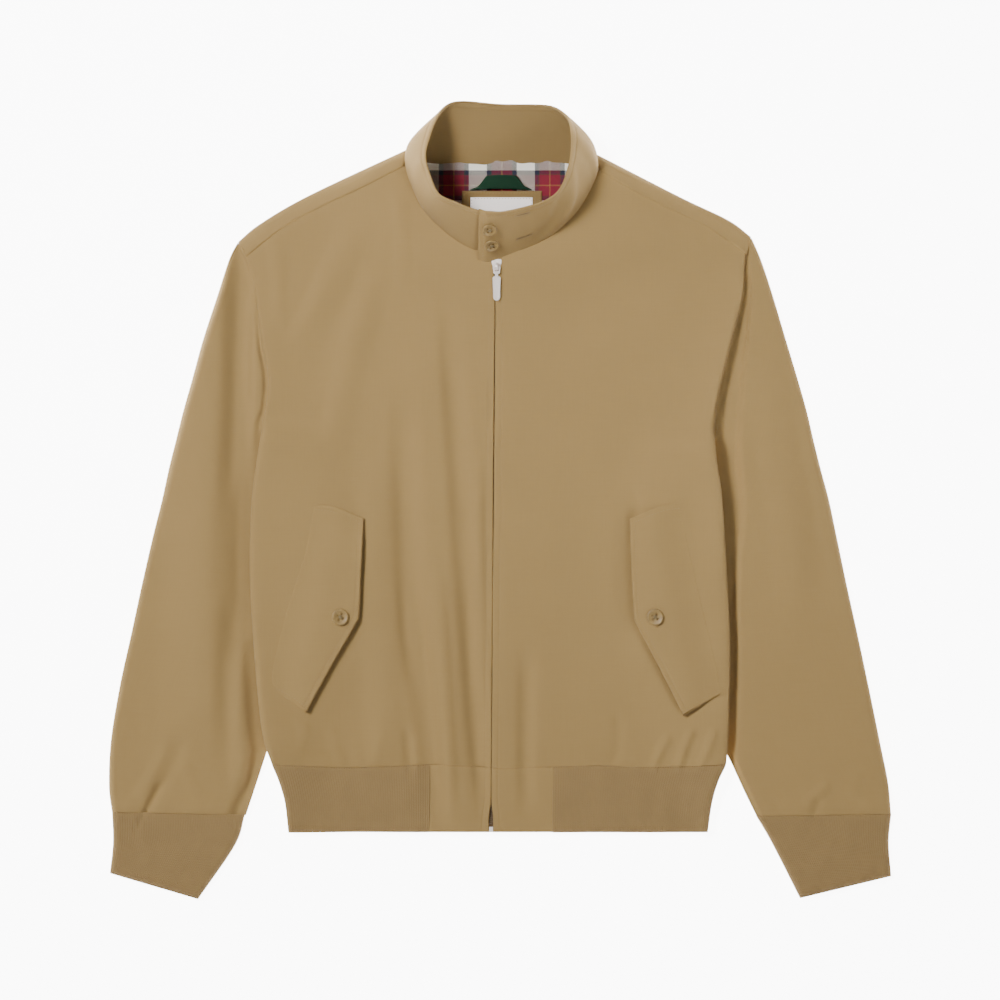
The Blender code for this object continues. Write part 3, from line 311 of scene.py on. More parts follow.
def layers(x, y):
    """Height of the fronts' outer face over the back's, without creases."""
    def edge(side):
        inward = WAY[side] * (x_where(OUTER_EDGE[side], y) - x)
        return hollow_at(side, y)[0] * np.exp(-(np.maximum(inward, 0.0) / 22.0) ** 2)
    reach = np.hypot(x / 97.0, (y - NECK_Y) / 60.0)
    neck = mix(5.0, 9.0, ease((337.0 - y) / 90.0)) * (1.0 - ease((reach - 1.0) / 1.1))
    return LAYERS + placket(x, y) + neck + on_its_side(x, edge)


def fold_share(x, y):
    """0 on the side seam, 1 where front and back lie flat."""
    def one(side):
        inward = WAY[side] * (x_where(BODY_EDGE[side], y) - x)
        opened = ease((y - SLEEVE[side][UNDERARM, 3]) / 26.0)
        return mix(mix(0.34, 1.0, arch(inward / FOLD)), 1.0, opened)
    return on_its_side(x, one)


def front_z(x, y):
    """Height of the fronts' outer face."""
    half = 0.5 * layers(x, y)
    share = fold_share(x, y)
    still = 1.0 - 0.7 * ease((60.0 - np.hypot(x + 4.0, y - SLIDER_Y)) / 40.0)
    loose = creases_at(FRONT_CREASES, x, y) + 0.35 * rumple(x, y, seed=3, size=85.0)
    loose += 0.10 * rumple(x, y, seed=4, size=24.0)
    room = half + half * share + loose * share * still - LEAST_ROOM * share
    return rise_over_sleeve(x, y) + LEAST_ROOM * share + soft_floor(room, 0.0, 0.7)


def back_z(x, y):
    """Height of the back's outer face, which lies on the surface."""
    half = 0.5 * layers(x, y)
    return rise_over_sleeve(x, y) + half - half * fold_share(x, y)


def forward_seam(side):
    """Seam of the front with the back's turned-over shoulder edge."""
    outline = smooth_line(SHOULDER[side])
    run = [curve(SLEEVE[side][:, 2:], 0.5)]
    for share in (0.25, 0.5, 0.75):
        here, before, after = at_length(outline, [share, share - 0.02, share + 0.02])
        ahead = after - before
        inward = np.array((ahead[1], -ahead[0])) / np.hypot(*ahead)
        run.append(here + (inward if inward[1] < 0.0 else -inward) * YOKE_WRAP)
    run.append(np.array(FRONT_NECK[side][0]))
    return smooth_line(run)


def outer_boundary(side):
    """Side seam up to the underarm, then the armhole up to the forward seam."""
    armhole = curve(SLEEVE[side][:, 2:], np.linspace(UNDERARM, 0.5, 90))
    return np.vstack([smooth_line(SIDE_SEAM[side])[:-1], armhole])


OUTER_EDGE = {side: outer_boundary(side)[::-1] for side in WAY}


def sewn_dip(distance, depth, width):
    """Cloth drawn down beside a seam."""
    return depth * (1.0 - np.clip(distance / width, 0.0, 1.0)) ** 2


def rolled(distance, width, depth):
    """Drop of a folded edge that rolls down over a width."""
    return depth * (1.0 - arch(distance / width))


def groove(distance, inset, depth, width=0.6):
    """Dip under a row of stitches at an inset from an edge."""
    return depth * np.exp(-((distance - inset) / width) ** 2)


def distances(points):
    """Distance of each point of a grid from its left, right, bottom and top edge."""
    across = np.linalg.norm(np.diff(points, axis=1), axis=2)
    upward = np.linalg.norm(np.diff(points, axis=0), axis=2)
    left = np.pad(np.cumsum(across, axis=1), ((0, 0), (1, 0)))
    bottom = np.pad(np.cumsum(upward, axis=0), ((1, 0), (0, 0)))
    return left, left[:, -1:] - left, bottom, bottom[-1:] - bottom


def lay_cloth(name, points, wall, stuff, flat, up=None, closed=False, dropped=None):
    """Sheet from a grid of points on its outer face, with a UV map in metres of the flat cloth.

    up is the (row, column) of a cell that faces up, dropped tells the cells that are left out,
    and closed welds the last column to the first. Returns the piece and its look-up tree.
    """
    rows, columns = points.shape[:2]
    bm = bmesh.new()
    bmesh.ops.create_grid(bm, x_segments=columns - 1, y_segments=rows - 1, size=1.0)
    uv = bm.loops.layers.uv.new("Cloth")
    edge = bm.verts.layers.float.new("Edge")
    borders = distances(points)
    near = np.minimum(borders[2], borders[3])
    near = near if closed else np.minimum(near, np.minimum(borders[0], borders[1]))
    worn = np.exp(-near / 1.6).reshape(-1)
    places = (points * MM).reshape(-1, 3)
    for vert, place, share in zip(bm.verts, places.tolist(), worn.tolist()):
        vert.co = place
        vert[edge] = share
    flat_places = (flat * MM).reshape(-1, 2).tolist()
    for face in bm.faces:
        for loop in face.loops:
            loop[uv].uv = flat_places[loop.vert.index]
    bm.faces.ensure_lookup_table()
    cell = up or (rows // 2, columns // 2)
    facing = bm.faces[cell[0] * (columns - 1) + cell[1]]
    facing.normal_update()
    if facing.normal.z < 0.0:
        bmesh.ops.reverse_faces(bm, faces=bm.faces[:])
    if dropped:
        spare = [f for k, f in enumerate(bm.faces) if dropped(k // (columns - 1), k % (columns - 1))]
        bmesh.ops.delete(bm, geom=spare, context="FACES")
    if closed:
        bmesh.ops.remove_doubles(bm, verts=bm.verts[:], dist=0.01 * MM)
    bm.normal_update()
    tree = BVHTree.FromBMesh(bm)
    piece = add_piece(name, bm, stuff)
    shell = piece.modifiers.new("Wall", "SOLIDIFY")
    shell.thickness = wall * MM
    shell.offset = -1.0
    shell.use_quality_normals = True
    return piece, tree


def mesh_from(name, bm):
    mesh = bpy.data.meshes.new(name)
    bm.to_mesh(mesh)
    bm.free()
    return mesh


def put_in_scene(name, data):
    made = bpy.data.objects.new(name, data)
    bpy.context.scene.collection.objects.link(made)
    return made


def add_piece(name, bm, stuff, sharp=50.0):
    mesh = mesh_from(name, bm)
    mesh.shade_smooth()
    mesh.set_sharp_from_angle(angle=math.radians(sharp))
    mesh.materials.append(stuff)
    piece = put_in_scene(name, mesh)
    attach(piece, "jacket")
    return piece


def add_node(tree, kind, settings=(), inputs=()):
    """Node with its settings, and its inputs set to a value or linked to another socket."""
    made = tree.nodes.new(kind)
    for key, value in dict(settings).items():
        setattr(made, key, value)
    for key, value in dict(inputs).items():
        if isinstance(value, bpy.types.NodeSocket):
            tree.links.new(value, made.inputs[key])
        else:
            made.inputs[key].default_value = value
    return made


def sum_node(tree, operation, *values):
    made = add_node(tree, "ShaderNodeMath", {"operation": operation}, enumerate(values))
    return made.outputs[0]


def noise_node(tree, place, scale, detail, **more):
    settings = {"Vector": place, "Scale": scale, "Detail": detail, **more}
    return add_node(tree, "ShaderNodeTexNoise", (), settings).outputs[0]


def bump_node(tree, height, strength, distance, **more):
    settings = {"Strength": strength, "Distance": distance, "Height": height, **more}
    return add_node(tree, "ShaderNodeBump", (), settings).outputs[0]


def stretched(tree, place, scale):
    return add_node(tree, "ShaderNodeMapping", (), {"Vector": place, "Scale": scale}).outputs[0]


def cloth_place(tree):
    """Place on the flat cloth, in metres."""
    return add_node(tree, "ShaderNodeUVMap", {"uv_map": "Cloth"}).outputs[0]


def split(tree, place):
    return add_node(tree, "ShaderNodeSeparateXYZ", (), {0: place}).outputs


def mix_colours(tree, a, b, share=1.0, **settings):
    settings = {"data_type": "RGBA", **settings}
    return add_node(tree, "ShaderNodeMix", settings, {0: share, 6: a, 7: b}).outputs[2]


def dimmed(tree, colour, bright):
    """A colour times a brightness."""
    grey = add_node(tree, "ShaderNodeCombineColor", (), {0: bright, 1: bright, 2: bright}).outputs[0]
    return mix_colours(tree, colour, grey, blend_type="MULTIPLY")


def two_tones(tree, share, dark, light, stops=(0.0, 1.0)):
    """Colour between a dark and a light one, which are reached at the two stops."""
    ramp = add_node(tree, "ShaderNodeValToRGB", (), {0: share})
    for element, stop, colour in zip(ramp.color_ramp.elements, stops, (dark, light)):
        element.position = stop
        element.color = (*colour, 1.0)
    return ramp.outputs[0]


def new_group(name, inputs):
    """Node group with its inputs, and its outputs Height and Shade."""
    group = bpy.data.node_groups.new(name, "ShaderNodeTree")
    for label, kind, value in inputs:
        socket = group.interface.new_socket(label, in_out="INPUT", socket_type=kind)
        if value is not None:
            socket.default_value = value
    for label in ("Height", "Shade"):
        group.interface.new_socket(label, in_out="OUTPUT", socket_type="NodeSocketFloat")
    return group, group.nodes.new("NodeGroupInput").outputs, group.nodes.new("NodeGroupOutput").inputs


def make_weave_group():
    """Plain weave: threads crossing over and under, some a little thicker or darker."""
    group, given, made = new_group("plain weave", [
        ("Cloth", "NodeSocketVector", None), ("Pitch", "NodeSocketFloat", 0.0005)])
    place = split(group, given["Cloth"])
    turns = sum_node(group, "DIVIDE", math.pi, given["Pitch"])
    warp, weft = (sum_node(group, "SINE", sum_node(group, "MULTIPLY", place[k], turns)) for k in (0, 1))
    over = sum_node(group, "GREATER_THAN", sum_node(group, "MULTIPLY", warp, weft), 0.0)
    crossing = add_node(group, "ShaderNodeMix", (), {
        0: over, 2: sum_node(group, "ABSOLUTE", warp), 3: sum_node(group, "ABSOLUTE", weft)})
    group.links.new(crossing.outputs[0], made["Height"])
    shade = None
    for stretch in ((900.0, 25.0, 1.0), (25.0, 900.0, 1.0), (14.0, 14.0, 1.0)):
        slub = noise_node(group, stretched(group, given["Cloth"], stretch), 1.0, 2.0)
        part = sum_node(group, "MULTIPLY", slub, 0.06)
        shade = part if shade is None else sum_node(group, "ADD", shade, part)
    group.links.new(sum_node(group, "ADD", shade, 0.91), made["Shade"])
    return group


WEAVE = make_weave_group()


def new_material(name, roughness, settings=()):
    """Material with its node tree and the inputs of its shader."""
    made = bpy.data.materials.new(name)
    made.use_nodes = True
    shader = made.node_tree.nodes["Principled BSDF"]
    for key, value in {"Roughness": roughness, **dict(settings)}.items():
        shader.inputs[key].default_value = value
    return made, made.node_tree, shader.inputs


def woven(name, colour, roughness=0.86, pitch=0.0005, crumple=0.12, wear=0.10):
    """Woven cotton: thread relief, slubs, fine crumpling and paler, worn edges."""
    stuff, tree, shader = new_material(name, roughness, {"Sheen Weight": 0.05, "IOR": 1.4})
    cloth = cloth_place(tree)
    weave = add_node(tree, "ShaderNodeGroup", {"node_tree": WEAVE}, {"Cloth": cloth, "Pitch": pitch})
    edge = add_node(tree, "ShaderNodeAttribute", {"attribute_name": "Edge"}).outputs["Fac"]
    patchy = noise_node(tree, cloth, 70.0, 3.0)
    worn = sum_node(tree, "MULTIPLY", sum_node(tree, "MULTIPLY", edge, patchy), wear)
    bright = sum_node(tree, "ADD", weave.outputs["Shade"], worn)
    tree.links.new(dimmed(tree, (*colour, 1.0), bright), shader["Base Color"])
    creased = bump_node(tree, noise_node(tree, cloth, 130.0, 4.0), crumple, 0.0012)
    threads = bump_node(tree, weave.outputs["Height"], 0.35, 0.00012, Normal=creased)
    tree.links.new(threads, shader["Normal"])
    return stuff


SAND = (0.270, 0.173, 0.061)
poplin = woven("sand_poplin_cloth", SAND)
# A darker copy of the sand poplin, painted shade: it stands in for the shade on the collar's inner layer
# and on the hanger patch inside the neck.
shaded_poplin = woven("poplin_painted_shade", [value * 0.76 for value in SAND])

# Half the gap between the fronts' edges over the closed zip: y, then gap.
ZIP_GAP = ((-262, -180, -145, -110, -60, 0, 200), (0.22, 0.32, 0.16, 0.08, 0.2, 0.4, 0.36))
front_trees = {}
for side in WAY:
    sign = WAY[side]
    outer = outer_boundary(side)
    zip_ys = np.r_[np.linspace(hem_y(-9.0), 205.0, 60), np.linspace(208.0, 240.0, 24)]
    half_gap = mix(np.interp(zip_ys, *ZIP_GAP), 3.2, ease((zip_ys - 219.0) / 10.0))
    centre = np.stack([zip_x(zip_ys) + sign * half_gap, zip_ys], -1)
    seam, neck = forward_seam(side), smooth_line(FRONT_NECK[side])
    inward = np.array((0.0, NECK_Y)) - neck
    neck = neck + inward / np.linalg.norm(inward, axis=1)[:, None] * 1.8
    top = np.vstack([seam, neck[1:]])
    centre = np.vstack([centre, top[-1]])
    hem_x = np.linspace(outer[0, 0], centre[0, 0], 80)
    bottom = np.stack([hem_x, hem_y(hem_x)], -1)
    bottom[0], bottom[-1] = outer[0], centre[0]
    across = graded_past(length_of(bottom), length_of(seam) / length_of(top), ZIP_EDGE)
    armpit = length_of(smooth_line(SIDE_SEAM[side])) / length_of(outer)
    upward = graded_past(length_of(outer), armpit)
    plan = span(outer, centre, bottom, top, across, upward)
    x, y = plan[..., 0], plan[..., 1]
    z = front_z(x, y)
    from_outer, from_zip, from_hem, from_top = distances(plan)
    armhole_row = upward > armpit
    side_seam = rise_over_sleeve(x, y) + 0.5 * layers(x, y) + 0.3
    z[~armhole_row, 0] = side_seam[~armhole_row, 0]
    z += creases_at(BESIDE_FLAP, x, y)
    z -= np.where(armhole_row[:, None], rolled(from_outer, 3.4, hollow_at(side, y)[3]), 0.0)
    z -= sewn_dip(from_top, 0.08, 2.0)
    z -= rolled(from_zip, 1.0, 0.5)
    z -= groove(from_zip, ZIP_STITCHED, 0.25)
    gather = 0.6 * rumple(x, y * 0.12, seed=11, size=19.0) + 0.3 * rumple(x, y * 0.1, seed=12, size=9.0)
    z += (gather - 0.4) * np.exp(-from_hem / 12.0) * ease((from_zip - 10.0) / 20.0)
    z -= rolled(from_hem, 3.0, 0.25 + 0.25 * rumple(x, 0.0 * y, seed=13, size=40.0))
    points = np.dstack([x, y, z])
    piece, front_trees[side] = lay_cloth(f"{side}_front", points, FRONT_WALL, poplin, plan)
    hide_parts(f"front_{side}")

# ---------------------------------------------------------------- the back
# The back is one poplin panel. Its shoulder edges turn over to the front and end at a seam that
# lies a finger's width below the shoulder line; below the arms it is sewn to the fronts.
BACK_NECK = [(-89.5, 344.5), (-70.0, 339.0), (-40.0, 337.0), (0.0, 337.0),
             (40.0, 337.0), (70.0, 338.0), (91.5, 341.0)]
SHOULDER_COLUMNS = 46
NECK_COLUMNS = 40


def shoulder_point(side, shares, depth):
    """Points a depth in from the shoulder line, towards the forward seam."""
    start = at_length(smooth_line(SHOULDER[side]), shares)
    inward = at_length(forward_seam(side), shares) - start
    reach = np.linalg.norm(inward, axis=1)[:, None]
    return start + inward / np.maximum(reach, 1e-6) * np.minimum(depth, reach)


shoulder_run = length_of(smooth_line(SHOULDER["right"]))
shoulder_shares = np.r_[np.array(PANEL_EDGE) / shoulder_run,
                        np.linspace(PANEL_EDGE[-1] / shoulder_run, 1.0, SHOULDER_COLUMNS)[1:]]
neck_line = at_length(smooth_line(BACK_NECK), np.linspace(0, 1, NECK_COLUMNS + 1))[1:-1]
left_line = np.vstack([outer_boundary("right"), shoulder_point("right", [0.0], FOLD)])
right_line = np.vstack([outer_boundary("left"), shoulder_point("left", [0.0], FOLD)])
top_line = np.vstack([shoulder_point("right", shoulder_shares, FOLD), neck_line,
                      shoulder_point("left", shoulder_shares, FOLD)[::-1]])
hem_line = np.array([left_line[0], right_line[0]])
top_steps = run_along(top_line)
upward = graded(length_of(left_line), 4.2)
plan = span(left_line, right_line, hem_line, top_line, top_steps / top_steps[-1], upward)
x, y = plan[..., 0], plan[..., 1]
z = back_z(x, y)
below_arm = y < SLEEVE["right"][UNDERARM, 3] - 2.0
seam_height = rise_over_sleeve(x, y) + 0.5 * layers(x, y) - 0.3
for column in (0, -1):
    z[:, column] = np.where(below_arm[:, column], seam_height[:, column], z[:, column])
rows = [np.dstack([x, y, z])]
flat_rows = [plan]
turns = np.radians(np.linspace(-80, 90, 18))
depths = [(FOLD * (1 - math.cos(a)), math.sin(a)) for a in turns]
depths += [(d, 1.0) for d in (8.5, 10.0, 11.5, 13.0, 14.2, 15.0, 15.6, 16.0, 2 * YOKE_WRAP)]
columns = len(shoulder_shares)
run = 0.0
for depth, rise in depths:
    line = np.zeros((len(top_line), 3))
    for side, where in (("right", slice(0, columns)), ("left", slice(len(top_line) - columns, None))):
        shares = shoulder_shares if side == "right" else shoulder_shares[::-1]
        place = shoulder_point(side, shares, depth)
        half = 0.5 * layers(place[:, 0], place[:, 1])
        swell = 0.25 * rumple(place[:, 0], place[:, 1], seed=5, size=60.0)
        tilt = 1.1 * (1.0 + rise) * (1.0 - float(ease(depth / YOKE_WRAP)))
        line[where] = np.c_[place, half + half * rise - tilt + (swell if rise == 1.0 else 0.0)]
        if rise == 1.0:
            line[where, 2] -= sewn_dip(YOKE_WRAP - depth, 0.08, 2.0)
    neck_part = slice(columns, len(top_line) - columns)
    line[neck_part] = np.c_[top_line[neck_part] + (0.0, depth), np.zeros(len(neck_line))]
    rows.append(line[None])
    run += 1.4
    flat_rows.append((top_line + (0.0, run))[None])
points = np.vstack(rows)
flat = np.vstack(flat_rows)
first_turn = len(upward) - 1
piece, _ = lay_cloth(
    "back_panel", points, FRONT_WALL, poplin, flat, up=(first_turn + 22, 12),
    dropped=lambda j, i: j >= first_turn and columns - 1 <= i < len(top_line) - columns)
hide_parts("back")

# ---------------------------------------------------------------- the sleeves
# Each sleeve is one piece of poplin with a seam under the arm. It is set into the armhole and
# lies flat; below the underarm its inner fold is tucked under the body.
SLEEVE_CREASES = {
    "right": [
        (-278, 280, -291, -40, -2, 58, 24, 5.4), (-290, 40, -290, -280, 0, 58, 38, 5.4),
        (-257, 330, -261, -30, 4, 26, 13, -4.8),
        (-249, 215, -252, 80, -2, 6, 6, 1.6), (-256, 35, -258, -225, 0, 36, 10, -3.6),
        (-264, -80, -274, -270, 0, 18, 11, -2.2), (-262, -135, -254, -310, 0, 18, 14, 4.0),
        (-316, -232, -350, -300, 3, 14, 12, -1.5), (-328, -240, -366, -306, 2, 12, 14, 1.6),
        (-337, -280, -360, -326, 0, 6, 5, -4.4), (-300, -300, -316, -258, 2, 10, 9, 1.1),
    ],
    "left": [
        (258, 165, 302, -170, 6, 26, 28, 2.0), (332, -280, 300, -306, 1, 6, 8, 1.8),
        (320, -296, 312, -318, 0, 5, 6, -1.4), (300, 110, 345, -120, 4, 16, 14, 0.9),
        (352, -300, 360, -270, 2, 9, 8, 0.8),
    ],
}
FOLD_SHARES = np.array(PANEL_EDGE) / PANEL_EDGE[-1]
MIDDLE = 0.5 * LAYERS
SLEEVE_FLOOR = 2.6
SLEEVE_WALL = 1.6


def flat_section(outer, inner, ends, creases, count, gap=0.0, mouth=0.0, pinch=0.0, hollow=(0, 0, 1, 0)):
    """One section of a sleeve or cuff, from its inner end over the top, round and back.

    ends are the heights of its two inner ends and mouth parts them; pinch flattens it there.
    hollow is the run at the body's edge, then the width, slope and depth of the hollow beside it.
    """
    length = np.hypot(*(outer - inner))
    toward = (outer - inner) / length
    reach = min(FOLD, 0.45 * length)
    edge = FOLD_SHARES * reach
    run = np.r_[edge, np.linspace(reach, length - reach, count)[1:-1], length - edge[::-1]]
    place = inner + toward * (run + gap * (1 - run / length))[:, None]
    x, y = place[:, 0], place[:, 1]
    near, far = arch(run / FOLD), arch((length - run) / FOLD)
    loose = creases_at(creases, x, y) + 0.3 * rumple(x, y, seed=7, size=70.0)
    loose = loose + 0.1 * rumple(x, y, seed=8, size=22.0)
    high = mix(MIDDLE, LAYERS - pinch * (1 - ease(run / 45.0)), far) + loose * near * far
    high = soft_floor(high, SLEEVE_FLOOR, 0.5)
    sunk = hollow[3] * (1 - ease((run - hollow[0] - hollow[1]) / hollow[2]))
    high = np.where(sunk > 0.0, np.maximum(high - sunk, np.minimum(high, SLEEVE_FLOOR)), high)
    upper = mix(ends[0] + mouth, high, near)
    lower = mix(ends[1] - mouth, mix(MIDDLE, 0.0, far), near)
    return (np.vstack([np.c_[place, upper], np.c_[place, lower][::-1][1:]]),
            np.r_[run, 2 * length - run[::-1][1:]])


for side in WAY:
    sections = SLEEVE[side]
    steps = np.r_[np.linspace(0, 8, 81)[:-1], np.linspace(8, 14, 85)[:-1],
                  15.0 - np.linspace(1, 0.28, 8)[:-1], 15.0 - np.array(PANEL_EDGE)[::-1] / 27.0]
    outer = curve(sections[:, :2], steps)
    inner = curve(sections[:, 2:], steps)
    front_edge = front_z(inner[:, 0], inner[:, 1])
    back_edge = back_z(inner[:, 0], inner[:, 1])
    rows, flat_rows = [], []
    run_down = run_along(outer)
    for k, t in enumerate(steps):
        _, hollow_width, slope, depth = (float(value) for value in hollow_at(side, inner[k, 1]))
        body_run = max(0.0, abs(x_where(OUTER_EDGE[side], inner[k, 1])) - abs(inner[k, 0]))
        joined = (max(front_edge[k] - depth, back_edge[k] + 2.0), back_edge[k])
        pinch = (RISE[side] - 7.0) * ease(t - 5.0) * (1 - ease((t - 7.0) / 1.5))
        mouth, ends = 0.0, joined
        if t >= UNDERARM:
            shut = mix(0.5 * sum(joined), MIDDLE - 0.5 * pinch, ease((t - UNDERARM) / 0.3))
            mouth, ends = 1.2, (shut + 0.18, shut - 0.18)
        line, run = flat_section(
            outer[k], inner[k], ends, SLEEVE_CREASES[side], 46, gap=0.4 * ease((t - 5.8) / 0.4),
            mouth=mouth, pinch=pinch, hollow=(body_run, hollow_width, slope, depth))
        rows.append(line)
        flat_rows.append(np.c_[run, np.full(len(run), -run_down[k])])
    points, flat = np.stack(rows), np.stack(flat_rows)
    to_cuff = (run_down[-1] - run_down)[:, None]
    upper = np.arange(points.shape[1])[None] < points.shape[1] // 2
    wave = 0.5 * rumple(flat[..., 0], flat[..., 1] * 0.1, seed=21, size=22.0)
    wave += 0.25 * rumple(flat[..., 0], flat[..., 1] * 0.1, seed=22, size=11.0)
    points[..., 2] += np.where(upper, 1.0 + wave, 0.0) * np.exp(-((to_cuff - 7.0) / 9.0) ** 2)
    points[..., 2] -= np.where(upper, rolled(to_cuff, 3.0, 0.4), 0.0)
    points[0, :, :2] += (points[1, 20, :2] - points[0, 20, :2]) * 0.5
    points[:6, :, 2] = np.maximum(points[:6, :, 2], SLEEVE_WALL + 0.05)
    piece, _ = lay_cloth(f"{side}_sleeve", points, SLEEVE_WALL, poplin, flat, up=(120, 25))
    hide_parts(f"sleeve_{side}")

# ---------------------------------------------------------------- the cuffs
# Each cuff is a tube of fine rib knit, folded double and sewn to the gathered end of the sleeve.
# Its ribs run along the arm.
CUFF = {
    "right": np.array([(-388.0, -311.4, -255.0, -314.4), (-387.0, -342.0, -265.0, -345.0),
                       (-390.0, -373.0, -302.0, -399.0)]),
    "left": np.array([(391.0, -313.4, 256.0, -315.4), (388.5, -342.0, 272.0, -343.0),
                      (391.0, -376.0, 300.0, -398.0)]),
}
CUFF_CREASES = {
    "right": [(-350, -298, -366, -338, 0, 5, 4, -1.6), (-366, -320, -350, -372, 2, 12, 12, 0.9)],
    "left": [(318, -300, 308, -338, 0, 6, 6, -0.9), (350, -320, 344, -368, 2, 12, 12, 0.7)],
}
RIB_PITCH = 2.5
RIB_DEPTH = 0.18
KNIT_WALL = 0.9
POINTS_PER_RIB = 5


def make_knit_group():
    """Face of a rib knit: a column of small V-shaped stitches on each rib."""
    group, given, made = new_group("rib knit", [
        ("Cloth", "NodeSocketVector", None), ("Rib", "NodeSocketFloat", 0.0025),
        ("Course", "NodeSocketFloat", 0.0016)])
    place = split(group, given["Cloth"])
    across = sum_node(group, "DIVIDE", place[0], given["Rib"])
    along = sum_node(group, "DIVIDE", place[1], given["Course"])
    off = sum_node(group, "ABSOLUTE", sum_node(group, "SUBTRACT", sum_node(group, "FRACT", across), 0.5))
    slant = sum_node(group, "ADD", along, sum_node(group, "MULTIPLY", off, 1.1))
    loop = sum_node(group, "SINE", sum_node(group, "MULTIPLY", slant, math.tau))
    ridge = sum_node(group, "COSINE", sum_node(group, "MULTIPLY", off, math.tau))
    raised = sum_node(group, "MULTIPLY_ADD", loop, 0.3, 0.5)
    total = sum_node(group, "ADD", raised, sum_node(group, "MULTIPLY", ridge, 0.2))
    group.links.new(total, made["Height"])
    patchy = sum_node(group, "MULTIPLY", noise_node(group, given["Cloth"], 40.0, 3.0), 0.08)
    # Painted shade: the tone darkens with the knit's height into the grooves between the stitches, over a
    # random patchy tone.
    dark = sum_node(group, "MULTIPLY_ADD", total, 0.16, patchy)
    group.links.new(sum_node(group, "ADD", dark, 0.86), made["Shade"])
    return group


KNIT = make_knit_group()


def knitted(name, colour):
    """Cotton rib: knit stitches, painted shade in the grooves between them, a slightly uneven tone."""
    stuff, tree, shader = new_material(name, 0.92, {"Sheen Weight": 0.08, "IOR": 1.4})
    knit = add_node(tree, "ShaderNodeGroup", {"node_tree": KNIT}, {"Cloth": cloth_place(tree)})
    edge = add_node(tree, "ShaderNodeAttribute", {"attribute_name": "Edge"}).outputs["Fac"]
    bright = sum_node(tree, "ADD", knit.outputs["Shade"], sum_node(tree, "MULTIPLY", edge, 0.08))
    tree.links.new(dimmed(tree, (*colour, 1.0), bright), shader["Base Color"])
    tree.links.new(bump_node(tree, knit.outputs["Height"], 0.5, 0.0004), shader["Normal"])
    return stuff


SAND_RIB = (0.222, 0.142, 0.055)
rib = knitted("sand_rib_knit", SAND_RIB)


def rib_relief(lines, downs):
    """Points of a knit piece raised into ribs, and their flat places, from its lines going down."""
    count = int(round(length_of(lines[0]) / RIB_PITCH)) * POINTS_PER_RIB
    ribs = np.arange(count + 1) / POINTS_PER_RIB
    points = []
    for line in lines:
        even = at_length(line, np.linspace(0, 1, count + 1))
        ahead = np.gradient(even, axis=0)
        if np.allclose(line[0], line[-1]):
            ahead[0] = 0.5 * (ahead[0] + ahead[-1])
        ahead[-1] = ahead[0]
        out = np.cross(ahead, np.cross((0.0, 0.0, 1.0), ahead[len(ahead) // 8]))
        out /= np.linalg.norm(out, axis=1)[:, None]
        wave = np.cos(math.tau * np.arange(count + 1) / POINTS_PER_RIB)
        points.append(even + out * (RIB_DEPTH * wave)[:, None])
    points = np.stack(points)
    points[..., 2] = np.maximum(points[..., 2], 0.0)
    return points, np.dstack(np.broadcast_arrays(ribs * RIB_PITCH, -np.array(downs)[:, None]))


for side in WAY:
    sections = CUFF[side]
    steps = np.linspace(0, 2, 25)
    outer = curve(sections[:, :2], steps)
    inner = curve(sections[:, 2:], steps)
    run_down = run_along(outer)
    lines = []
    for k, down in enumerate(run_down):
        line, _ = flat_section(outer[k], inner[k], (MIDDLE, MIDDLE), CUFF_CREASES[side], 30)
        ending = arch(down / 2.5) * arch((run_down[-1] - down) / 2.5)
        slack = mix(0.93 if k < 12 else 0.72, 1.0, ending)
        line[:, 2] = MIDDLE + (line[:, 2] - MIDDLE) * slack
        lines.append(line)
    points, flat = rib_relief(lines, run_down)
    points[:, -1] = points[:, 0]
    piece, _ = lay_cloth(f"{side}_cuff", points, KNIT_WALL, rib, flat,
                         up=(12, points.shape[1] // 4), closed=True)
    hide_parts(f"cuff_rib_{side}")

# ---------------------------------------------------------------- the waistband
# The waistband is the same rib knit, double, from front end to front end round the back. At the zip it
# ends in two flat pieces of poplin with a line of stitching beside the zip.
BAND_BOTTOM = -332.0
BAND_DEPTH = BAND_TOP - BAND_BOTTOM
BAND_END_WIDTH = 62.0
LAYERED_WALL = 2.0
BAND_SIDE = {
    "right": [(-228.0, -264.0), (-221.0, -280.0), (-215.0, -300.0), (-211.5, -331.0)],
    "left": [(226.0, -264.0), (218.0, -280.0), (212.0, -300.0), (207.5, -331.0)],
}


def band_height(x):
    return LAYERS + placket(x, BAND_TOP)


def band_half(side, y, share):
    """Band from a front end out to the side fold and under it to where the back lies flat."""
    sign = WAY[side]
    edge = at_length(smooth_line(BAND_SIDE[side]), [share])[0, 0]
    start = zip_x(y) + sign * (BAND_END_WIDTH - 0.3)
    stop = edge - sign * FOLD
    xs = np.linspace(start, stop, 60)
    turn = np.radians(np.linspace(80, -80, 17))
    round_x = edge - sign * FOLD * (1 - np.cos(turn))
    round_z = MIDDLE * (1 + np.sin(turn))
    return np.vstack([np.c_[xs, band_height(xs)], np.c_[round_x, round_z], [(stop, 0.0)]])


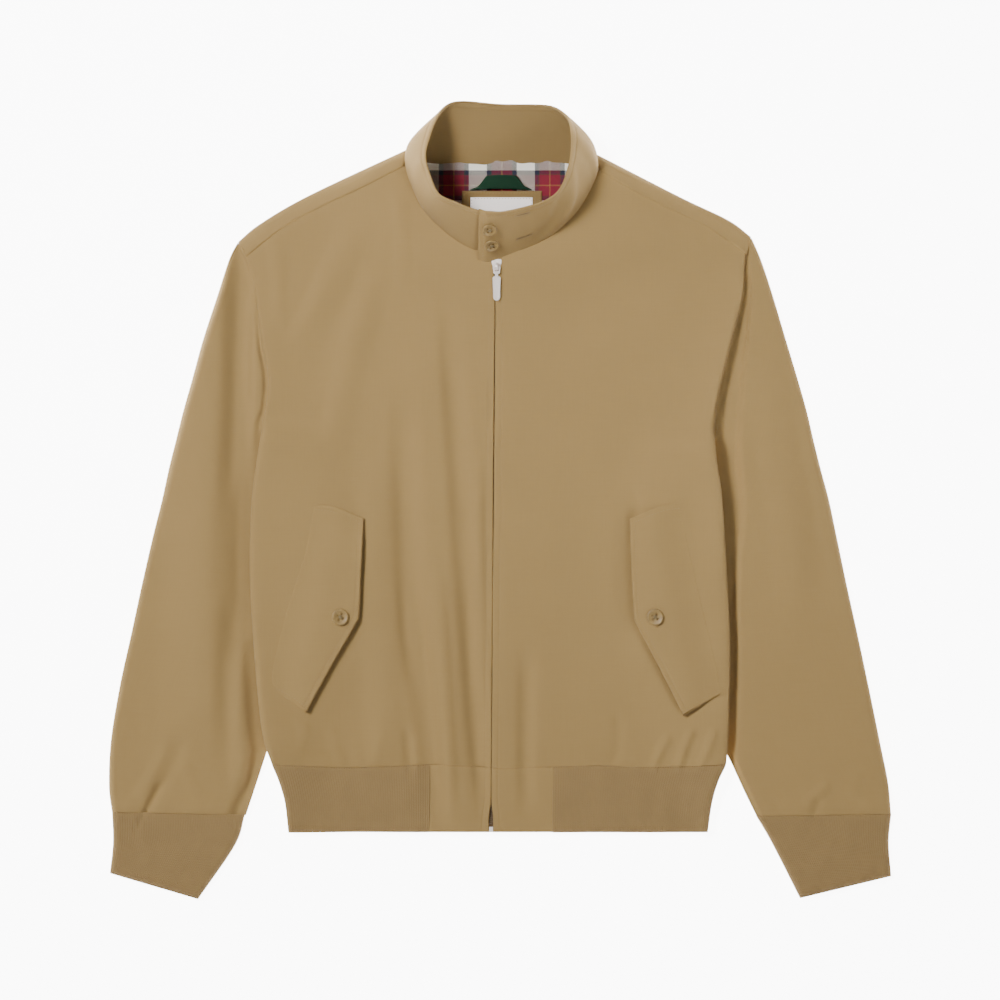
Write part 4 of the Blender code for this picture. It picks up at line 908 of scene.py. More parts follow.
BAND_HEM = (0.0, 0.4, 1.0, 1.8, 3.0)
lines = []
band_shares = graded(BAND_DEPTH, 3.6, (0.0, 0.5, 1.3, 2.5), BAND_HEM)
for share in band_shares:
    y = mix(BAND_TOP, BAND_BOTTOM, share)
    right, left = band_half("right", y, share), band_half("left", y, share)
    under = np.c_[np.linspace(right[-1, 0], left[-1, 0], 80)[1:-1], np.zeros(78)]
    x, level = np.vstack([right, under, left[::-1]]).T
    down = BAND_DEPTH * share
    ending = arch(down / 3.0) * arch((BAND_DEPTH - down) / 2.5)
    raised = level > MIDDLE
    swell = 0.5 * math.sin(math.pi * share) + 0.5 * rumple(x, np.full_like(x, y * 0.2), seed=31, size=26.0)
    fallen = creases_at(FRONT_CREASES, x, np.full_like(x, y)) * (1.0 - 0.4 * share)
    swell = np.maximum(swell * ending + np.maximum(fallen, -4.2), 4.2 - level)
    height = level + np.where(raised, swell - 0.8 * (1 - ending), 0.0)
    sag = 0.6 * rumple(x * 0.6, np.zeros_like(x), seed=32, size=90.0) * share
    top_y = np.where(raised, hem_y(x), -264.0)
    lines.append(np.c_[x, mix(top_y, BAND_BOTTOM, share) + sag * raised,
                       height + rise_over_sleeve(x, np.full_like(x, y))])
points, flat = rib_relief(lines, BAND_DEPTH * band_shares)
piece, _ = lay_cloth("waist_knit", points, KNIT_WALL, rib, flat, up=(8, 60))
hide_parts("waist_rib")

band_end_trees = {}
for side in WAY:
    sign = WAY[side]
    rows = []
    for share in graded(BAND_DEPTH, 2.4, last=BAND_HEM):
        y = mix(BAND_TOP, BAND_BOTTOM, share)
        apart = mix(0.15, 2.2, ease((-297.0 - y) / 24.0))
        start = zip_x(y) + sign * apart
        stop = zip_x(y) + sign * BAND_END_WIDTH
        xs = mix(start, stop, graded(60.0, 2.4, ZIP_EDGE))
        rows.append(np.c_[xs, mix(hem_y(xs), BAND_BOTTOM, share), band_height(xs)])
    points = np.stack(rows)
    from_zip, from_rib, from_seam, from_hem = distances(points[..., :2])
    x, y = points[..., 0], points[..., 1]
    points[..., 2] += 0.3 * rumple(x, y, seed=33, size=40.0) - groove(from_zip, ZIP_STITCHED, 0.3)
    points[..., 2] -= rolled(from_zip, 1.4, 0.7) + rolled(from_hem, 2.2, 1.4)
    points[..., 2] -= sewn_dip(from_rib, 0.25, 3.0) + rolled(from_seam, 2.5, 0.5)
    points[..., 2] += creases_at(FRONT_CREASES, x, y) * (1.0 - 0.4 * (BAND_TOP - y) / BAND_DEPTH)
    points[..., 2] = soft_floor(points[..., 2], 4.4, 0.7)
    piece, band_end_trees[side] = lay_cloth(
        f"{side}_band_end", points, LAYERED_WALL, poplin, points[..., :2])
    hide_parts(f"waistband_end_{side}")

# ---------------------------------------------------------------- the collar
# The collar is a stand of two layers of poplin with a stiffening between them, sewn to the neck.
# Its left end laps over the right one. A row of stitching runs below its folded top edge.

# Sections from the right end round the back to the left end: seam x, y, z, top x, y, z, swell.
COLLAR = np.array([
    (8.0, 248.6, 14.4, 7.0, 284.0, 53.0, 0.0), (-12.0, 245.8, 15.4, -11.5, 285.4, 54.0, 0.0),
    (-30.0, 250.6, 15.6, -28.0, 289.8, 56.0, 0.5), (-50.5, 263.6, 14.6, -44.0, 295.6, 57.0, 1.5),
    (-75.0, 287.0, 13.6, -62.0, 305.0, 57.0, 3.0), (-88.5, 313.5, 11.8, -72.0, 328.0, 54.0, 4.0),
    (-95.0, 334.0, 9.6, -74.5, 345.0, 49.0, 5.0), (-94.0, 346.8, 6.0, -70.0, 363.0, 42.0, 8.0),
    (-85.0, 344.6, 2.4, -63.0, 382.0, 30.0, 8.0), (-68.0, 339.8, 0.8, -53.0, 395.5, 17.0, 4.0),
    (-40.0, 337.8, 0.5, -36.0, 399.0, 9.0, 0.0), (0.0, 337.8, 0.5, 0.0, 396.0, 8.0, 0.0),
    (40.0, 337.8, 0.5, 40.0, 395.5, 8.0, 0.0), (68.0, 338.8, 0.8, 56.0, 392.5, 15.0, 3.0),
    (86.0, 341.4, 2.4, 67.0, 383.0, 27.0, 7.0), (96.0, 342.8, 5.6, 71.0, 369.0, 40.0, 8.0),
    (98.5, 330.0, 10.0, 71.5, 350.0, 48.0, 6.0), (91.5, 311.5, 12.0, 68.0, 330.0, 54.0, 4.0),
    (76.0, 286.0, 13.8, 60.0, 309.0, 58.0, 3.0), (53.0, 264.2, 15.0, 45.0, 297.0, 60.0, 2.0),
    (28.0, 251.4, 16.2, 24.0, 290.5, 60.0, 1.0), (5.0, 243.6, 17.8, 3.0, 286.5, 60.0, 0.0),
    (-9.0, 241.6, 20.8, -9.0, 286.5, 61.0, 0.0), (-22.0, 240.4, 21.6, -21.0, 286.8, 61.4, 0.0),
])
COLLAR_DEPTH = 56.0
COLLAR_WALL = 2.6
COLLAR_MIDDLE_Y = 292.0
COLLAR_STITCHED = 5.0


def collar_face(t, share, lift=0.0):
    """Points of the collar's outer face at sections t and shares of its height, moved out."""
    t, share = np.broadcast_arrays(np.asarray(t, float), np.asarray(share, float))
    seam, top = COLLAR[:, 0:3], COLLAR[:, 3:6]
    low, high = curve(seam, t), curve(top, t)
    swell = curve(COLLAR[:, 6:7], t)[..., 0]
    middle = 0.5 * (low + high)
    out = np.stack([middle[..., 0], middle[..., 1] - COLLAR_MIDDLE_Y, np.zeros_like(swell)], -1)
    out /= np.linalg.norm(out, axis=-1)[..., None]
    around = curve(seam, t + 0.05) - curve(seam, t - 0.05)
    around += curve(top, t + 0.05) - curve(top, t - 0.05)
    facing = np.cross(around, high - low)
    facing /= np.linalg.norm(facing, axis=-1)[..., None]
    facing *= np.sign((facing * out).sum(-1))[..., None]
    bow = 4.0 * share * (1.0 - share) * swell
    face = low + (high - low) * share[..., None] + out * bow[..., None]
    return face + facing * np.asarray(lift)[..., None]


t_run = np.r_[np.linspace(0.03, 0.3, 6), np.linspace(0.4, 22.6, 210), np.linspace(22.7, 22.98, 7)]
shares = graded(COLLAR_DEPTH, 2.2, (-4.2, -2.8, -1.4, 0.0, 0.8, 1.8, 3.4),
                (0.0, 0.3, 0.8, 1.5, 2.4, 3.4, 4.4, 5.0, 5.5, 6.0, 6.8, 8.0))
t_grid, share_grid = np.meshgrid(t_run, shares)
down = (1.0 - share_grid) * COLLAR_DEPTH
lift = -groove(down, EDGE_STITCHED, 0.45) - rolled(down, 1.8, 1.2)
lift -= sewn_dip(np.abs(COLLAR_DEPTH * share_grid), 0.15, 2.6)
lift += 0.35 * rumple(t_grid * 15.0, share_grid * 50.0, seed=41, size=46.0)

# Creases: section and share of the height where each starts, the same where it ends, half width in
# sections, height.
COLLAR_CREASES = [(17.0, 1.0, 18.9, 0.1, 0.6, 1.6), (18.2, 0.9, 19.7, 0.1, 0.5, -1.3),
                  (5.4, 0.9, 4.4, 0.1, 0.7, 1.0), (15.4, 0.95, 16.2, 0.2, 0.6, 1.2)]
for t0, s0, t1, s1, reach, rise in COLLAR_CREASES:
    line_t = mix(t0, t1, (s0 - share_grid) / (s0 - s1))
    body = np.clip(1 - ((t_grid - line_t) / reach) ** 2, 0, 1) ** 2
    lift += rise * body * ease((1.0 - share_grid) * 5.0) * ease(share_grid * 5.0)
lift -= 2.3 * ease((t_grid - 22.35) / 0.6)
points = collar_face(t_grid, share_grid, lift)
points[..., 2] = np.maximum(points[..., 2], 0.05)
run = run_along(points[8])
flat = np.dstack(np.broadcast_arrays(run[None], share_grid * COLLAR_DEPTH))
collar_points = points
piece, _ = lay_cloth("stand_collar", points, COLLAR_WALL, poplin, flat, up=(8, len(t_run) - 12))
# The collar's inner layer takes the darker copy of the poplin, painted shade inside the stand.
piece.data.materials.append(shaded_poplin)
piece.modifiers["Wall"].material_offset = 1
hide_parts("collar")

# ---------------------------------------------------------------- the pocket flaps
# A slanted flap of two layers of poplin hangs over each pocket mouth. It is sewn along its outer
# edge and ends in a blunt point below its button.
FLAP_SEWN = {
    "right": [(-185.0, -4.0), (-195.0, -55.0), (-213.0, -112.0), (-227.0, -172.0), (-223.0, -192.0)],
    "left": [(179.7, -3.0), (187.0, -44.0), (204.0, -117.0), (216.6, -171.0), (220.0, -194.0)],
}
FLAP_FREE = {
    "right": [(-136.0, -18.5), (-138.5, -68.0), (-140.6, -114.0), (-143.0, -122.0), (-168.0, -165.5),
              (-191.5, -208.0), (-194.0, -210.0)],
    "left": [(129.6, -19.0), (131.4, -72.0), (134.2, -117.0), (137.0, -125.0), (160.0, -169.0),
             (181.6, -211.5), (184.0, -214.0)],
}
FLAP_LIFT = {"right": 3.2, "left": 1.6}
FLAP_EDGE = (0.0, 0.3, 0.8, 1.6, 2.6, 3.8, 5.2)
flap_trees, flap_plans = {}, {}


def height_on(tree, x, y):
    """Height and facing of the cloth at a place, or None beside it."""
    hit, normal, _, _ = tree.ray_cast(Vector((x, y, 1000.0)) * MM, Vector((0.0, 0.0, -1.0)))
    return (hit.z / MM, normal) if hit else None


for side in WAY:
    sewn = smooth_line(FLAP_SEWN[side])[::-1]
    free = smooth_line(FLAP_FREE[side])[::-1]
    start, stop = np.array([FLAP_SEWN[side][0], FLAP_FREE[side][0]])
    top = smooth_line([start, mix(start, stop, 0.4) + (0.0, 3.0), stop])
    bottom = np.array([FLAP_SEWN[side][-1], FLAP_FREE[side][-1]])
    across = graded(48.0, 2.2, (0.0, 0.5, 1.2, 2.2), (0.0, 0.3, 0.8, 1.6, 2.6, 3.6, 4.6, 5.2, 5.8, 7.0))
    upward = graded(205.0, 2.6, FLAP_EDGE, FLAP_EDGE)
    plan = span(sewn, free, bottom, top, across, upward)
    x, y = plan[..., 0], plan[..., 1]
    from_sewn, from_free, from_tip, from_top = distances(plan)
    under = front_z(x, y)
    share = np.broadcast_to(across[None], x.shape)
    lift = FLAP_LIFT[side] * share ** 2 * ease(from_top / 30.0) + 0.25 * rumple(x, y, seed=51, size=50.0)
    rim = np.minimum(np.minimum(from_free, from_top + 4.0 * (1 - share)), from_tip)
    z = under + 0.15 + 2.75 * ease(from_sewn / 36.0) + lift
    z -= rolled(rim, 1.5, 1.1) + groove(rim, EDGE_STITCHED, 0.3)
    piece, flap_trees[side] = lay_cloth(
        f"{side}_flap", np.dstack([x, y, z]), LAYERED_WALL, poplin, plan)
    flap_plans[side] = plan
    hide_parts(f"pocket_flap_{side}")

# ---------------------------------------------------------------- the buttons
# Four-hole buttons of sand horn-like resin with a raised rim and a sunk middle, sewn on with
# thread of the same colour: two small ones on the collar's end, a larger one on each flap.


def object_place(tree):
    return add_node(tree, "ShaderNodeTexCoord").outputs["Object"]


def horn_material():
    """Resin with soft darker streaks and a roughness that varies in places."""
    stuff, tree, shader = new_material("horn_resin", 0.38, {"IOR": 1.5})
    place = object_place(tree)
    streaks = noise_node(tree, place, 160.0, 4.0, Distortion=1.4)
    tones = two_tones(tree, streaks, (0.185, 0.116, 0.034), (0.265, 0.168, 0.050), (0.35, 0.7))
    tree.links.new(tones, shader["Base Color"])
    rough = sum_node(tree, "MULTIPLY_ADD", noise_node(tree, place, 700.0, 2.0), 0.2, 0.42)
    tree.links.new(rough, shader["Roughness"])
    return stuff


def thread_material(name, colour):
    """Sewing thread: two plies twisted together, with painted shade where they dip between one another."""
    stuff, tree, shader = new_material(name, 0.7, {"Sheen Weight": 0.1})
    plies = add_node(tree, "ShaderNodeTexWave", {"bands_direction": "DIAGONAL"}, {
        "Vector": object_place(tree), "Scale": 900.0, "Distortion": 0.5}).outputs["Fac"]
    # Painted shade: the colour darkens where the plies dip.
    tones = two_tones(tree, plies, [c * 0.75 for c in colour], colour)
    tree.links.new(tones, shader["Base Color"])
    tree.links.new(bump_node(tree, plies, 0.3, 0.0001), shader["Normal"])
    return stuff


horn = horn_material()
button_thread = thread_material("button_thread", (0.20, 0.145, 0.06))
BUTTON_PROFILE = [(0.0, 0.5), (0.86, 0.5), (0.97, 0.9), (1.0, 1.4), (0.985, 2.0), (0.93, 2.45),
                  (0.85, 2.6), (0.76, 2.5), (0.66, 2.05), (0.5, 1.8), (0.0, 1.75)]
FLAP_BUTTON = 17.0
COLLAR_BUTTON = 15.0

# Shares of a button's width.
HOLE_OFFSET = 0.17
HOLE_RADIUS = 0.075


def carve(body, cutter):
    """Cut a form out of a body and keep only the carved body."""
    tool = put_in_scene("cutter", mesh_from("cutter", cutter))
    cut = body.modifiers.new("Cut", "BOOLEAN")
    cut.object = tool
    cut.operation = "DIFFERENCE"
    cut.solver = "EXACT"
    bpy.context.view_layer.update()
    graph = bpy.context.evaluated_depsgraph_get()
    shaped = bpy.data.meshes.new_from_object(body.evaluated_get(graph))
    body.modifiers.clear()
    body.data = shaped
    bpy.data.objects.remove(tool)


def sew_button(name, centre, facing, width, node_name):
    """Button turned from its profile, with four holes, and its crossed thread."""
    radius = 0.5 * width
    reach = HOLE_OFFSET * width * MM
    hole = HOLE_RADIUS * width * MM
    turn = facing.to_track_quat("Z", "Y").to_matrix().to_4x4()
    place = Matrix.Translation(Vector(centre) * MM) @ turn
    bm = bmesh.new()
    ring = [bm.verts.new((share * radius * MM, 0.0, height * MM)) for share, height in BUTTON_PROFILE]
    edges = [bm.edges.new(pair) for pair in zip(ring, ring[1:])]
    bmesh.ops.spin(bm, geom=ring + edges, cent=(0, 0, 0), axis=(0, 0, 1), angle=math.tau, steps=40,
                   use_merge=True)
    bmesh.ops.remove_doubles(bm, verts=bm.verts[:], dist=0.01 * MM)
    bmesh.ops.recalc_face_normals(bm, faces=bm.faces[:])
    body = add_piece(name, bm, horn, sharp=60.0)
    cutter = bmesh.new()
    for k in range(4):
        angle = math.radians(45.0 + 90.0 * k)
        spot = Matrix.Translation((reach * math.cos(angle), reach * math.sin(angle), 0.002))
        bmesh.ops.create_cone(cutter, cap_ends=True, segments=14, radius1=hole, radius2=hole,
                              depth=0.006, matrix=spot)
    carve(body, cutter)
    body.data.transform(place)
    threads = bmesh.new()
    for angle, height in ((45.0, 2.0), (135.0, 2.25)):
        for shift in (-0.3, 0.3):
            swing = Matrix.Rotation(math.radians(angle), 4, "Z")
            spot = swing @ Matrix.Translation((0.0, shift * MM, height * MM)) @ Matrix.Diagonal(
                (reach * 1.05, 0.00034, 0.00034, 1.0))
            bmesh.ops.create_uvsphere(threads, u_segments=8, v_segments=8, radius=1.0, matrix=spot)
    sewn = add_piece(name + "_thread", threads, button_thread, sharp=80.0)
    sewn.data.transform(place)
    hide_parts(node_name)


for side, place in (("right", (-159.5, -117.0)), ("left", (155.0, -117.0))):
    height, normal = height_on(flap_trees[side], *place)
    sew_button(f"{side}_flap_button", (*place, height), normal, FLAP_BUTTON, f"flap_button_{side}")
for label, t, share in (("upper", 22.1, 0.62), ("lower", 21.95, 0.28)):
    here = collar_face([t, t - 0.2, t + 0.2, t], [share, share, share, share + 0.1])
    facing = Vector(here[3] - here[0]).cross(Vector(here[1] - here[2])).normalized()
    facing = facing if facing.z > 0.0 else -facing
    sew_button(
        f"{label}_collar_button", tuple(here[0]), facing, COLLAR_BUTTON, f"collar_button_{label}")

# ---------------------------------------------------------------- the zip
# A woven tape with a closed coil lies behind the fronts' folded edges. Its nickel slider stands
# at the neck, with a round-ended pull that hangs on the slider's bail; a box ends it at the hem.
ZIP_TOP = 227.0
ZIP_BOTTOM = -329.0
TAPE_WALL = 0.7


def metal_material():
    """Nickel plate: bright, with fine rub marks and a soft dulling in places."""
    stuff, tree, shader = new_material("nickel_plate", 0.25, {"Metallic": 0.6})
    rubbed = noise_node(tree, stretched(tree, object_place(tree), (1500.0, 160.0, 500.0)), 1.0, 3.0)
    tree.links.new(sum_node(tree, "MULTIPLY_ADD", rubbed, 0.12, 0.40), shader["Roughness"])
    tones = two_tones(tree, rubbed, (0.95, 0.86, 0.80), (1.0, 0.92, 0.87))
    tree.links.new(tones, shader["Base Color"])
    return stuff


nickel = metal_material()
tape_cloth = woven("zip_tape_weave", (0.10, 0.066, 0.034), pitch=0.0009, wear=0.0)
ys = np.linspace(ZIP_BOTTOM, ZIP_TOP, 90)
xs = np.array([-13.0, -11.0, -7.0, -3.5, -2.4, -1.2, 0.0, 1.2, 2.4, 3.5, 7.0, 11.0, 13.0])
cad_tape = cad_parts["zip_tape"]
cad_tree = BVHTree.FromObject(cad_tape, bpy.context.evaluated_depsgraph_get())
tape_z = np.array([
    height_on(cad_tree, float(zip_x(y)) - 8.0, float(np.clip(y, ZIP_BOTTOM + 0.5, ZIP_TOP - 0.5)))[0]
    for y in ys])
points = np.dstack(np.broadcast_arrays(zip_x(ys)[:, None] + xs, ys[:, None], tape_z[:, None]))
points[..., 2] = np.minimum(points[..., 2], front_z(points[..., 0], points[..., 1]) - 2.7)
piece, _ = lay_cloth("zip_tape_pair", points, TAPE_WALL, tape_cloth, points[..., :2])
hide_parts("zip_tape")

TOOTH_PITCH = 1.9
coil = bmesh.new()
for k in range(int((ZIP_TOP - ZIP_BOTTOM - 10.0) / TOOTH_PITCH)):
    y = ZIP_BOTTOM + 6.0 + k * TOOTH_PITCH
    z = float(np.interp(y, ys, tape_z)) + 0.75
    side_sign = 1.0 if k % 2 else -1.0
    spot = Matrix.Translation(Vector((float(zip_x(y)) + side_sign * 0.7, y, z)) * MM)
    spot = spot @ Matrix.Diagonal((0.0021, 0.00068, 0.0007, 1.0))
    bmesh.ops.create_icosphere(coil, subdivisions=2, radius=1.0, matrix=spot)
coil_resin = thread_material("coil_resin", (0.16, 0.11, 0.06))
piece = add_piece("zip_coil", coil, coil_resin, sharp=80.0)

SLIDER_DECK = 18.445
PULL_PIVOT = Vector((-3.375, 233.0, 20.395))
PULL_DROOP = 11.0


def plate(outline, thick):
    """Closed plate: a flat outline of points carried along the vector thick."""
    bm = bmesh.new()
    bmesh.ops.create_circle(bm, cap_ends=True, segments=len(outline), radius=1.0)
    for vert, point in zip(bm.verts, outline):
        vert.co = Vector(point) * MM
    carried = bmesh.ops.extrude_face_region(bm, geom=bm.faces[:])
    corners = [item for item in carried["geom"] if isinstance(item, bmesh.types.BMVert)]
    bmesh.ops.translate(bm, vec=Vector(thick) * MM, verts=corners)
    bmesh.ops.recalc_face_normals(bm, faces=bm.faces[:])
    return bm


def soften(piece, width):
    rounded = piece.modifiers.new("Rounding", "BEVEL")
    rounded.width = width * MM
    rounded.segments = 3
    rounded.limit_method = "ANGLE"
    rounded.harden_normals = False


def join(body, part):
    mesh = mesh_from("part", part)
    body.from_mesh(mesh)
    bpy.data.meshes.remove(mesh)


def mirrored(half, shared=1):
    """Outline whose second half mirrors the first; its last shared points lie on the middle."""
    return half + [(-x, y) for x, y in reversed(half[:len(half) - shared])]


def quarter(width, middle, drop, count):
    """Quarter of an ellipse, from its side to its lowest point."""
    return [(width * math.cos(a), middle - drop * math.sin(a))
            for a in np.linspace(0.0, 0.5 * math.pi, count)]


slider_top = mirrored([(-4.2, 5.5), (-4.9, 4.6), (-5.0, 2.6), (-4.6, 0.4), (-3.9, -1.6), (-3.7, -4.6),
                       (-3.2, -5.5)], shared=0)
wedge = mirrored([(-1.6, 5.4), (-1.4, 2.0), (0.0, 0.4)])
body = plate([(x, y, 0.0) for x, y in slider_top], (0.0, 0.0, -1.4))
for outline, low, thick in ((slider_top, -2.8, -1.4), (wedge, -1.3, -1.6)):
    join(body, plate([(x, y, low) for x, y in outline], (0.0, 0.0, thick)))
hoop = mirrored([(-4.0, -0.3), (-4.0, 1.6), (-3.5, 2.9), (-2.6, 4.0), (-1.4, 4.6), (0.0, 4.75)])
hoop += mirrored([(2.6, -0.3), (2.6, 1.4), (2.2, 2.4), (1.5, 3.2), (0.0, 3.45)])
join(body, plate([(-1.3, y - 2.0, z) for y, z in hoop], (2.6, 0.0, 0.0)))
slider_place = Vector((float(zip_x(SLIDER_Y)), SLIDER_Y, SLIDER_DECK)) * MM
bmesh.ops.translate(body, vec=slider_place, verts=body.verts[:])
piece = add_piece("slider_body", body, nickel, sharp=40.0)
soften(piece, 0.35)
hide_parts("zip_slider")

tab = mirrored([(3.4, 0.75), (3.4, -6.1), (2.9, -6.9), (1.6, -7.6), (1.6, -9.3), (2.2, -9.9), (3.4, -10.4),
                (4.0, -11.6), (3.5, -26.0)] + quarter(3.5, -30.6, 3.9, 8))
piece = add_piece("pull_tab", plate([(x, y, -0.75) for x, y in tab], (0.0, 0.0, 1.5)), nickel, sharp=40.0)
eye = bmesh.new()
eye_place = Matrix.Translation((0.0, -2.725 * MM, 0.0))
eye_place = eye_place @ Matrix.Diagonal((3.8 * MM, 3.95 * MM, 6.0 * MM, 1.0))
bmesh.ops.create_cube(eye, size=1.0, matrix=eye_place)
carve(piece, eye)
recess = mirrored([(2.7, -12.2), (2.3, -26.0)] + quarter(2.3, -30.2, 2.7, 6))
carve(piece, plate([(x, y, 0.5) for x, y in recess], (0.0, 0.0, 1.0)))
droop = Matrix.Rotation(math.radians(PULL_DROOP), 4, "X")
piece.data.transform(Matrix.Translation(PULL_PIVOT * MM) @ droop)
soften(piece, 0.3)
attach(piece, "pull")
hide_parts("zip_pull")

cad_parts["zip_bottom_box"].data.materials[0] = nickel

# ---------------------------------------------------------------- inside the neck
# Behind the open collar the tartan lining shows, with a patch of poplin, a blank white label and
# a loop of green twill tape to hang the jacket by, all sewn to one another.
SETT = 48.0

# Threads of half a repeat of the check: distance from its middle at which each colour starts.
THREAD_ORDER = [(0.0, (0.88, 0.84, 0.74)), (9.0, (0.008, 0.009, 0.030)), (12.4, (0.012, 0.026, 0.016)),
                (13.6, (0.175, 0.002, 0.018)), (23.2, (0.32, 0.13, 0.03))]
TRIM_EDGE = (0.0, 0.4, 1.0)
TAPE_EDGE = (0.0, 0.5, 1.2)
TAPE_RUN = 64.0


def tartan_cloth():
    """Check woven in a 2/2 twill: the same order of coloured threads both ways."""
    stuff, tree, shader = new_material("tartan_cotton", 0.9, {"Sheen Weight": 0.08})
    cloth = cloth_place(tree)
    place = split(tree, cloth)
    threads = []
    for socket, start in ((place[0], 0.0222), (place[1], 0.0335)):
        shifted = sum_node(tree, "DIVIDE", sum_node(tree, "ADD", socket, start), SETT * MM)
        turn = sum_node(tree, "SUBTRACT", sum_node(tree, "FRACT", shifted), 0.5)
        twice = sum_node(tree, "MULTIPLY", sum_node(tree, "ABSOLUTE", turn), 2.0)
        ramp = add_node(tree, "ShaderNodeValToRGB", (), {0: sum_node(tree, "SUBTRACT", 1.0, twice)})
        stops = ramp.color_ramp.elements
        ramp.color_ramp.interpolation = "CONSTANT"
        stops.remove(stops[1])
        for k, (distance, colour) in enumerate(THREAD_ORDER):
            stop = stops[0] if k == 0 else stops.new(distance / (0.5 * SETT))
            stop.position = distance / (0.5 * SETT)
            stop.color = (*colour, 1.0)
        threads.append(ramp.outputs[0])
    slope = sum_node(tree, "ADD", place[0], place[1])
    twill = sum_node(tree, "FRACT", sum_node(tree, "DIVIDE", slope, 0.0007))
    checked = mix_colours(tree, *threads, sum_node(tree, "GREATER_THAN", twill, 0.5))
    patchy = sum_node(tree, "MULTIPLY", noise_node(tree, cloth, 300.0, 3.0), 0.06)
    faded = mix_colours(tree, checked, (0.25, 0.16, 0.14, 1.0), patchy)
    # Painted shade: where threads of unlike colours cross, the colour is darkened, standing in for shade.
    unlike_thread_shade = mix_colours(tree, *threads, blend_type="DIFFERENCE")
    depth = sum_node(tree, "SUBTRACT", 1.0, sum_node(tree, "MULTIPLY", unlike_thread_shade, 0.56))
    tree.links.new(dimmed(tree, faded, depth), shader["Base Color"])
    ridges = sum_node(tree, "PINGPONG", twill, 0.5)
    tree.links.new(bump_node(tree, ridges, 0.5, 0.0002), shader["Normal"])
    return stuff


def twill_tape(name, colour):
    """Narrow twill: steep diagonal ribs, with painted shade in the hollows between them, and a firm edge.
    """
    stuff, tree, shader = new_material(name, 0.85, {"Sheen Weight": 0.03, "IOR": 1.3})
    place = split(tree, cloth_place(tree))
    slope = sum_node(tree, "MULTIPLY_ADD", place[0], 1.6, place[1])
    line = sum_node(tree, "PINGPONG", sum_node(tree, "DIVIDE", slope, 0.0009), 1.0)
    # Painted shade: the colour darkens into the hollows between the ribs.
    tones = two_tones(tree, line, [c * 0.55 for c in colour], colour)
    tree.links.new(tones, shader["Base Color"])
    tree.links.new(bump_node(tree, line, 0.5, 0.0003), shader["Normal"])
    return stuff


def flat_grid(left, right, low, high, base, step, seed, sway):
    """Points of a small flat sheet at a base height, with a slight sway."""
    xs = mix(left, right, graded(right - left, step, TRIM_EDGE, TRIM_EDGE))
    ys = mix(low, high, graded(high - low, step, TRIM_EDGE, TRIM_EDGE))
    x, y = np.meshgrid(xs, ys)
    return np.dstack([x, y, base + sway * rumple(x, y, seed=seed, size=26.0) + 0.6 * sway])


tartan = tartan_cloth()
label_satin = woven("label_satin", (1.0, 0.94, 0.91), 0.6, pitch=0.0003, crumple=0.05)
green_twill = twill_tape("green_twill", (0.006, 0.036, 0.016))
lining = flat_grid(-76.0, 76.0, 262.0, 341.0, base=2.9, step=2.4, seed=61, sway=0.25)
piece, _ = lay_cloth("neck_lining", lining, wall=0.5, stuff=tartan, flat=lining[..., :2] - (0.0, 324.0))
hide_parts("back_neck_lining")
patch_grid = flat_grid(-38.0, 42.0, 268.0, 309.0, base=4.0, step=2.4, seed=62, sway=0.15)
rim = np.minimum.reduce(distances(patch_grid))
patch_grid[..., 2] -= rolled(rim, 1.2, 0.5) + groove(rim, 2.2, 0.15, 0.5)
# The patch takes the darker copy of the poplin, painted shade inside the neck.
piece, patch_tree = lay_cloth(
    "hanger_patch", patch_grid, wall=0.6, stuff=shaded_poplin, flat=patch_grid[..., :2])
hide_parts("neck_patch")
label_grid = flat_grid(-29.5, 32.5, 272.0, 302.5, base=5.0, step=2.0, seed=63, sway=0.12)
piece, label_tree = lay_cloth(
    "blank_label", label_grid, wall=0.4, stuff=label_satin, flat=label_grid[..., :2])
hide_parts("neck_label")
v = np.linspace(0, 1, 9)[:, None]
u = graded(TAPE_RUN, 1.6, TAPE_EDGE, TAPE_EDGE)[None]
bow = np.sin(math.pi * u)
widen = ease(4.5 * np.minimum(u, 1.0 - u))
x = mix(mix(-31.0, 33.0, u), mix(-23.0, 26.0, u), v)
y = mix(309.6, 310.8, bow) + 14.0 * (0.25 + 0.75 * widen) * v
z = 4.6 + 3.0 * bow + 0.5 * np.sin(math.pi * v)
loop_grid = np.dstack([x, y, z])
loop_flat = np.dstack(np.broadcast_arrays(TAPE_RUN * u, 13.0 * v))
piece, _ = lay_cloth("hanger_tape", loop_grid, wall=0.8, stuff=green_twill, flat=loop_flat)
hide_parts("hanger_loop")

# ---------------------------------------------------------------- the topstitching
# Rows of lockstitch in matching thread hold the folded edges flat: beside the zip on the fronts and on the
# band ends, round the flaps, below the collar's edge, and round the patch and the label. Two buttonholes
# are worked in the collar's end.
STITCH_PITCH = 3.0
STITCH_LENGTH = 2.3
STITCH_THICK = 0.42
sewing_thread = thread_material("sewing_thread", (0.290, 0.190, 0.070))


def lay_stitch(bm, start, end, upward, thick=STITCH_THICK):
    """One stitch: a low, rounded length of thread from start to end."""
    ahead = Vector(end) - Vector(start)
    across = Vector(upward).cross(ahead).normalized()
    above = ahead.normalized().cross(across)
    axes = (ahead * 0.5, across * 0.5 * thick, above * 0.4 * thick)
    middle = 0.5 * (Vector(start) + Vector(end))
    rows = [[axis[k] * MM for axis in (*axes, middle)] for k in range(3)]
    turn = Matrix([*rows, [0, 0, 0, 1]])
    bmesh.ops.create_icosphere(bm, subdivisions=1, radius=1.0, matrix=turn)


def stitch_row(bm, path, upward):
    """Stitches one after the other along a path of points that lies on the cloth."""
    steps = run_along(path)
    for begin in np.arange(0.6, steps[-1] - STITCH_LENGTH, STITCH_PITCH):
        ends = [[float(np.interp(at, steps, path[:, k])) for k in range(3)]
                for at in (begin, begin + STITCH_LENGTH)]
        facing = [float(np.interp(begin, steps, upward[:, k])) for k in range(3)]
        lay_stitch(bm, *ends, facing)


